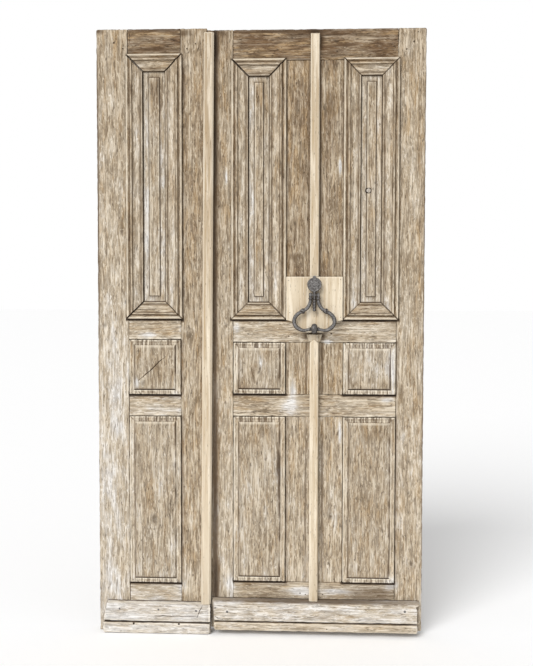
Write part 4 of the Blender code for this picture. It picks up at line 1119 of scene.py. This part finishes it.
class DOOR_OT_strips(bpy.types.Operator):
    """Dress the cover strip, the newer centre strips and the knocker board"""

    bl_idname = "oak_door.strips"
    bl_label = "Strips and knocker board"

    def execute(self, context):
        for node, board in NEWER_OAK.items():
            dress_strip(node, *board)
        return {'FINISHED'}


class DOOR_OT_feet(bpy.types.Operator):
    """Dress the plinth boards and drip mouldings"""

    bl_idname = "oak_door.feet"
    bl_label = "Plinth boards and drip mouldings"

    def execute(self, context):
        for node, board in FEET.items():
            dress_foot(node, *board)
        return {'FINISHED'}


def forged_copy(node, voxel):
    """A solid's shape as one even skin, softened as hammered iron is."""
    rough = into_object(into_mesh(merged_solid(node), f"{node}_rough"), f"{node}_rough")
    remesh = rough.modifiers.new("even skin", 'REMESH')
    remesh.mode = 'VOXEL'
    remesh.voxel_size = voxel
    graph = bpy.context.evaluated_depsgraph_get()
    even = bpy.data.meshes.new_from_object(rough.evaluated_get(graph))
    bpy.data.objects.remove(rough)
    bm = bmesh.new()
    bm.from_mesh(even)
    for _ in range(4):
        bmesh.ops.smooth_vert(bm, verts=bm.verts, factor=0.5, use_axis_x=True, use_axis_y=True,
                              use_axis_z=True)
    bm.to_mesh(even)
    bm.free()
    even.name = f"{node}_iron"
    return even


def chased_rosette(points, facing):
    """Move the rosette's front in and out into a ring, petals and a button; returns where it is sunk."""
    low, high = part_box("knocker_boss")
    across, upright = points[:, X] - (low.x + high.x) / 2, points[:, Z] - (high.z - LUG - ROSETTE)
    far = np.hypot(across, upright)
    front = points[far < 12 * MM, Y].min()
    on_front = (facing > 0.6) & (far < 24 * MM) & (points[:, Y] < front + 3.5 * MM)
    petals = np.cos(8 * np.arctan2(across, upright)) * step_down(far - 14 * MM, 8 * MM)
    ring = step_down(far - 20.5 * MM, 2 * MM)
    button = step_down(far, 6 * MM)
    curl = np.sin(far / (1.5 * MM)) * 0.4 * step_down(far - 12 * MM, 10 * MM)
    height = (petals * 0.45 + curl + button * 0.5 - ring * 0.45) * on_front
    points[:, Y] -= height * 0.9 * MM
    return np.clip(0.1 - height, 0, 1) * 0.75 * on_front


def twisted_knobs(points):
    """Twist the knobs on the drop like knotted rod; returns how deep each point lies in a groove."""
    low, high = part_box("knocker_drop")
    sunk = np.zeros(len(points))
    for side in (-1, 1):
        mirror = np.array((side, 1, 1))
        along = mirror * KNOB_RUN
        off = points - mirror * KNOB_PLACE - ((low.x + high.x) / 2, 0.0, 0.0)
        run = off @ along
        out = off - run[:, None] * along
        upward = np.cross(along, (0.0, 1.0, 0.0))
        turn = np.arctan2(out[:, Y], out @ upward)
        near = step_down(np.linalg.norm(off, axis=1) - 9 * MM, 5 * MM)
        wave = np.cos(3 * turn + run / (2.6 * MM)) * near
        length = np.maximum(np.linalg.norm(out, axis=1), 0.1 * MM)
        points += out / length[:, None] * (wave * 0.9 * MM)[:, None]
        sunk = np.maximum(sunk, np.clip(-wave, 0, 1))
    return sunk


class DOOR_OT_knocker(bpy.types.Operator):
    """Forge the knocker: its boss with the chased rosette, and the swinging drop"""

    bl_idname = "oak_door.knocker"
    bl_label = "Knocker"

    def execute(self, context):
        for node in ("knocker_boss", "knocker_drop"):
            mesh = forged_copy(node, 0.9 * MM)
            points, normals = points_of(mesh), normals_of(mesh)
            facing = -normals[:, Y]
            if node == "knocker_boss":
                sunk = chased_rosette(points, facing)
                # painted shade on the stem below the rosette, darkest on its sides
                stem = points[:, Z] <= PIVOT_Z + 12 * MM
                sunk[stem] = np.maximum(sunk, 0.25 + (np.abs(normals[:, X]) > 0.55) * 0.65)[stem]
            else:
                sunk = twisted_knobs(points)
                ball = step_down(points[:, Z] - BALL_Z, 30 * MM)
                ball *= step_down(points[:, X] - KNOCKER_X, 20 * MM)
                points[:, X] += normals[:, X] * ball * 1.6 * MM
                # painted shade round the eyes at the pivot; the ball and the parts just above it are
                # darkened a little too
                off_middle = np.abs(points[:, X] - KNOCKER_X)
                eyes = (off_middle < 11.5 * MM) & (np.abs(PIVOT_Z - points[:, Z]) < 9 * MM)
                neck = (off_middle < 17 * MM) & (points[:, Z] < 60 * MM)
                sunk = np.maximum.reduce([sunk, eyes * 0.75, neck * 0.35])
            for fall, reach, dark in SHADE_BANDS[node]:
                sunk = np.maximum(sunk, step_down(PIVOT_Z - points[:, Z] - fall, reach) * dark)
            move_to(mesh, points)
            # painted shade: darker where the surface turns away from the front and from the light above,
            # and in the hollows and painted bands
            lit = facing * 0.80 + normals[:, Z] * 0.30 - normals[:, X] * 0.12
            shade = np.clip(1.0 - lit * 1.25, 0, 1) ** 1.3
            store(mesh, "grime_and_shade", np.clip(np.maximum(shade, sunk), 0, 0.95))
            add_piece(mesh, node, "waxed_iron", "forged_iron")
        return {'FINISHED'}


def front_of(node):
    """Return a function that finds the front surface of a solid behind a place across and up."""
    bm = merged_solid(node)
    tree = BVHTree.FromBMesh(bm)
    bm.free()

    def front(x, z):
        before = Vector((x, -1.0, z))
        hit = tree.ray_cast(before, Vector((0.0, 1.0, 0.0)))[0]
        if hit is None:
            hit = tree.find_nearest(before)[0]
        return hit.y

    return front


def add_buttons(name, places, material, dark, pale=0.4):
    """Low round heads on the face, one mesh for each body that carries some of them."""
    by_body = {}
    for place in places:
        by_body.setdefault(BODY_OF[place[0]], []).append(place)
    for body, group in by_body.items():
        bm = bmesh.new()
        for node, x, z, radius, proud in group:
            deep = 1.5 * MM
            place = Matrix.Translation((x, front_of(node)(x, z) + (deep - proud) / 2, z))
            place @= Matrix.Rotation(math.radians(90), 4, 'X')
            bmesh.ops.create_cone(bm, cap_ends=True, segments=14, radius1=radius, radius2=radius * 0.72,
                                  depth=deep + proud, matrix=place)
        mesh = into_mesh(bm, name)
        points = points_of(mesh)
        store(mesh, "grain", points, 'FLOAT_VECTOR')
        store(mesh, "grime_and_shade", np.full(len(points), dark))
        store(mesh, "pale", np.full(len(points), pale))
        add_small_piece(mesh, f"{name}_{body}", material, body)


def add_small_piece(mesh, name, material, body):
    """Make an object that adds to the pieces without standing for a solid."""
    mesh.materials.append(finish_named(material))
    piece = into_object(mesh, name)
    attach(piece, body)


def add_crack(node, width, dark, line, number):
    """A dark split that wanders along a line of points: a closed sliver, half sunk in the face."""
    front = front_of(node)
    corners = np.array(line)
    run = np.concatenate(([0.0], np.cumsum(np.hypot(*np.diff(corners, axis=0).T))))

    def place_at(share):
        at = np.clip(share, 0, 1) * run[-1]
        return Vector((np.interp(at, run, corners[:, 0]), 0.0, np.interp(at, run, corners[:, 1])))

    bm = bmesh.new()
    bmesh.ops.create_grid(bm, x_segments=28, y_segments=1, size=1.0)
    for vertex in bm.verts:
        share, side = (vertex.co.x + 1) / 2, vertex.co.y
        along = (place_at(share + 0.05) - place_at(share - 0.05)).normalized()
        across = Vector((along.z, 0.0, -along.x))
        drift = noise.noise(Vector((share * 8, number * 3.7, 0.0))) * 2.2 * MM
        taper = 1 - 0.8 * abs(2 * share - 1) ** 3
        half = width / 2 * taper * (1 + noise.noise(Vector((share * 14, 0.0, number * 2.3))) * 0.8)
        place = place_at(share) + across * (drift + side * half)
        place.y = front(place.x, place.z) - 0.3 * MM
        vertex.co = place
    sunk = bmesh.ops.extrude_face_region(bm, geom=bm.faces[:], use_keep_orig=True)["geom"]
    bmesh.ops.translate(bm, verts=[item for item in sunk if isinstance(item, bmesh.types.BMVert)],
                        vec=(0.0, 1.6 * MM, 0.0))
    bmesh.ops.recalc_face_normals(bm, faces=bm.faces)
    mesh = into_mesh(bm, f"crack_{number}")
    places = points_of(mesh)
    store(mesh, "grain", places, 'FLOAT_VECTOR')
    store(mesh, "grime_and_shade", np.full(len(places), dark))
    add_small_piece(mesh, f"crack_{number}_{node}", "old_oak", BODY_OF[node])


class DOOR_OT_small_things(bpy.types.Operator):
    """Add the nails, nail holes, pegs and cracks on the face"""

    bl_idname = "oak_door.small_things"
    bl_label = "Nails, pegs and cracks"

    def execute(self, context):
        add_buttons("nails", NAILS, "waxed_iron", 0.10)
        add_buttons("nail_holes", HOLES, "nail_hole", 1.0)
        add_buttons("pegs", PEGS, "old_oak", 0.75)
        rings = [(node, x, z, radius * 1.3, 0.0003) for node, x, z, radius, _ in PLUGS]
        add_buttons("plug_rings", rings, "nail_hole", 1.0)
        add_buttons("plugs", PLUGS, "old_oak", 0.05, 0.8)
        for number, (node, width, dark, line) in enumerate(CRACKS):
            add_crack(node, width, dark, line, number)
        return {'FINISHED'}


class DOOR_OT_stage(bpy.types.Operator):
    """Set the pale floor, the soft light and the camera"""

    bl_idname = "oak_door.stage"
    bl_label = "Floor, light and camera"

    def execute(self, context):
        stage = context.scene.oak_door_stage
        bm = bmesh.new()
        bmesh.ops.create_grid(bm, x_segments=1, y_segments=1, size=40.0)
        bmesh.ops.translate(bm, verts=bm.verts, vec=(0, 0, CAD_BOX[0].z - 0.5 * MM))
        floor = into_object(into_mesh(bm, "floor"), "floor")
        material, _, shader = start_material("pale_floor")
        shader.inputs["Base Color"].default_value = rgba(linear("#ffffff"))
        shader.inputs["Roughness"].default_value = 0.9
        floor.data.materials.append(material)

        sun = bpy.data.lights.new("soft key", 'SUN')
        sun.energy = stage.key
        sun.angle = math.radians(34)
        key = into_object(sun, "soft key")
        key.rotation_euler = Vector(SUN_WAY).to_track_quat('-Z', 'Y').to_euler()

        world = bpy.data.worlds.new("studio")
        world.use_nodes = True
        context.scene.world = world
        tree = world.node_tree
        seen = add_node(tree, 'ShaderNodeLightPath').outputs["Is Camera Ray"]
        strength = add_node(tree, 'ShaderNodeMapRange', {"Value": seen, "To Min": stage.fill})
        background = tree.nodes["Background"]
        background.inputs["Color"].default_value = rgba((1.0, 1.0, 1.0))
        tree.links.new(strength.outputs["Result"], background.inputs["Strength"])

        camera_data = bpy.data.cameras.new("camera")
        camera_data.lens = stage.lens
        camera_data.sensor_width = 36.0
        camera = into_object(camera_data, "camera")
        view = (Vector(CAMERA_AIM) - Vector(CAMERA_PLACE)).to_track_quat('-Z', 'Y').to_matrix().to_4x4()
        roll = Matrix.Rotation(math.radians(CAMERA_ROLL), 4, 'Z')
        camera.matrix_world = Matrix.Translation(CAMERA_PLACE) @ view @ roll
        context.scene.camera = camera
        context.scene.view_settings.view_transform = 'Standard'
        return {'FINISHED'}


class DOOR_PT_panel(bpy.types.Panel):
    """Lists the door's steps in the sidebar"""

    bl_idname = "DOOR_PT_panel"
    bl_label = "Oak Door"
    bl_space_type = 'VIEW_3D'
    bl_region_type = 'UI'
    bl_category = "Oak Door"

    def draw(self, context):
        for group in (context.scene.oak_door_wood, context.scene.oak_door_colours,
                      context.scene.oak_door_stage):
            for name in group.__annotations__:
                self.layout.prop(group, name)
        for operator in OPERATORS:
            self.layout.operator(operator.bl_idname)


OPERATORS = (DOOR_OT_frame_members, DOOR_OT_panels, DOOR_OT_mouldings, DOOR_OT_strips, DOOR_OT_feet,
             DOOR_OT_knocker, DOOR_OT_small_things, DOOR_OT_stage)
CLASSES = (WoodSettings, ColourSettings, StageSettings, *OPERATORS, DOOR_PT_panel)


def register():
    """Register the add-on's classes and settings."""
    for item in CLASSES:
        bpy.utils.register_class(item)
    bpy.types.Scene.oak_door_wood = PointerProperty(type=WoodSettings)
    bpy.types.Scene.oak_door_colours = PointerProperty(type=ColourSettings)
    bpy.types.Scene.oak_door_stage = PointerProperty(type=StageSettings)


def unregister():
    """Take the add-on's classes and settings away."""
    del bpy.types.Scene.oak_door_stage
    del bpy.types.Scene.oak_door_colours
    del bpy.types.Scene.oak_door_wood
    for item in reversed(CLASSES):
        bpy.utils.unregister_class(item)


def main():
    """Build the whole door."""
    for item in [item for item in bpy.data.objects if item.type in {'CAMERA', 'LIGHT'}]:
        bpy.data.objects.remove(item)
    register()
    bpy.ops.oak_door.frame_members()
    bpy.ops.oak_door.panels()
    bpy.ops.oak_door.mouldings()
    bpy.ops.oak_door.strips()
    bpy.ops.oak_door.feet()
    bpy.ops.oak_door.knocker()
    bpy.ops.oak_door.small_things()
    bpy.ops.oak_door.stage()


if __name__ == "__main__":
    main()
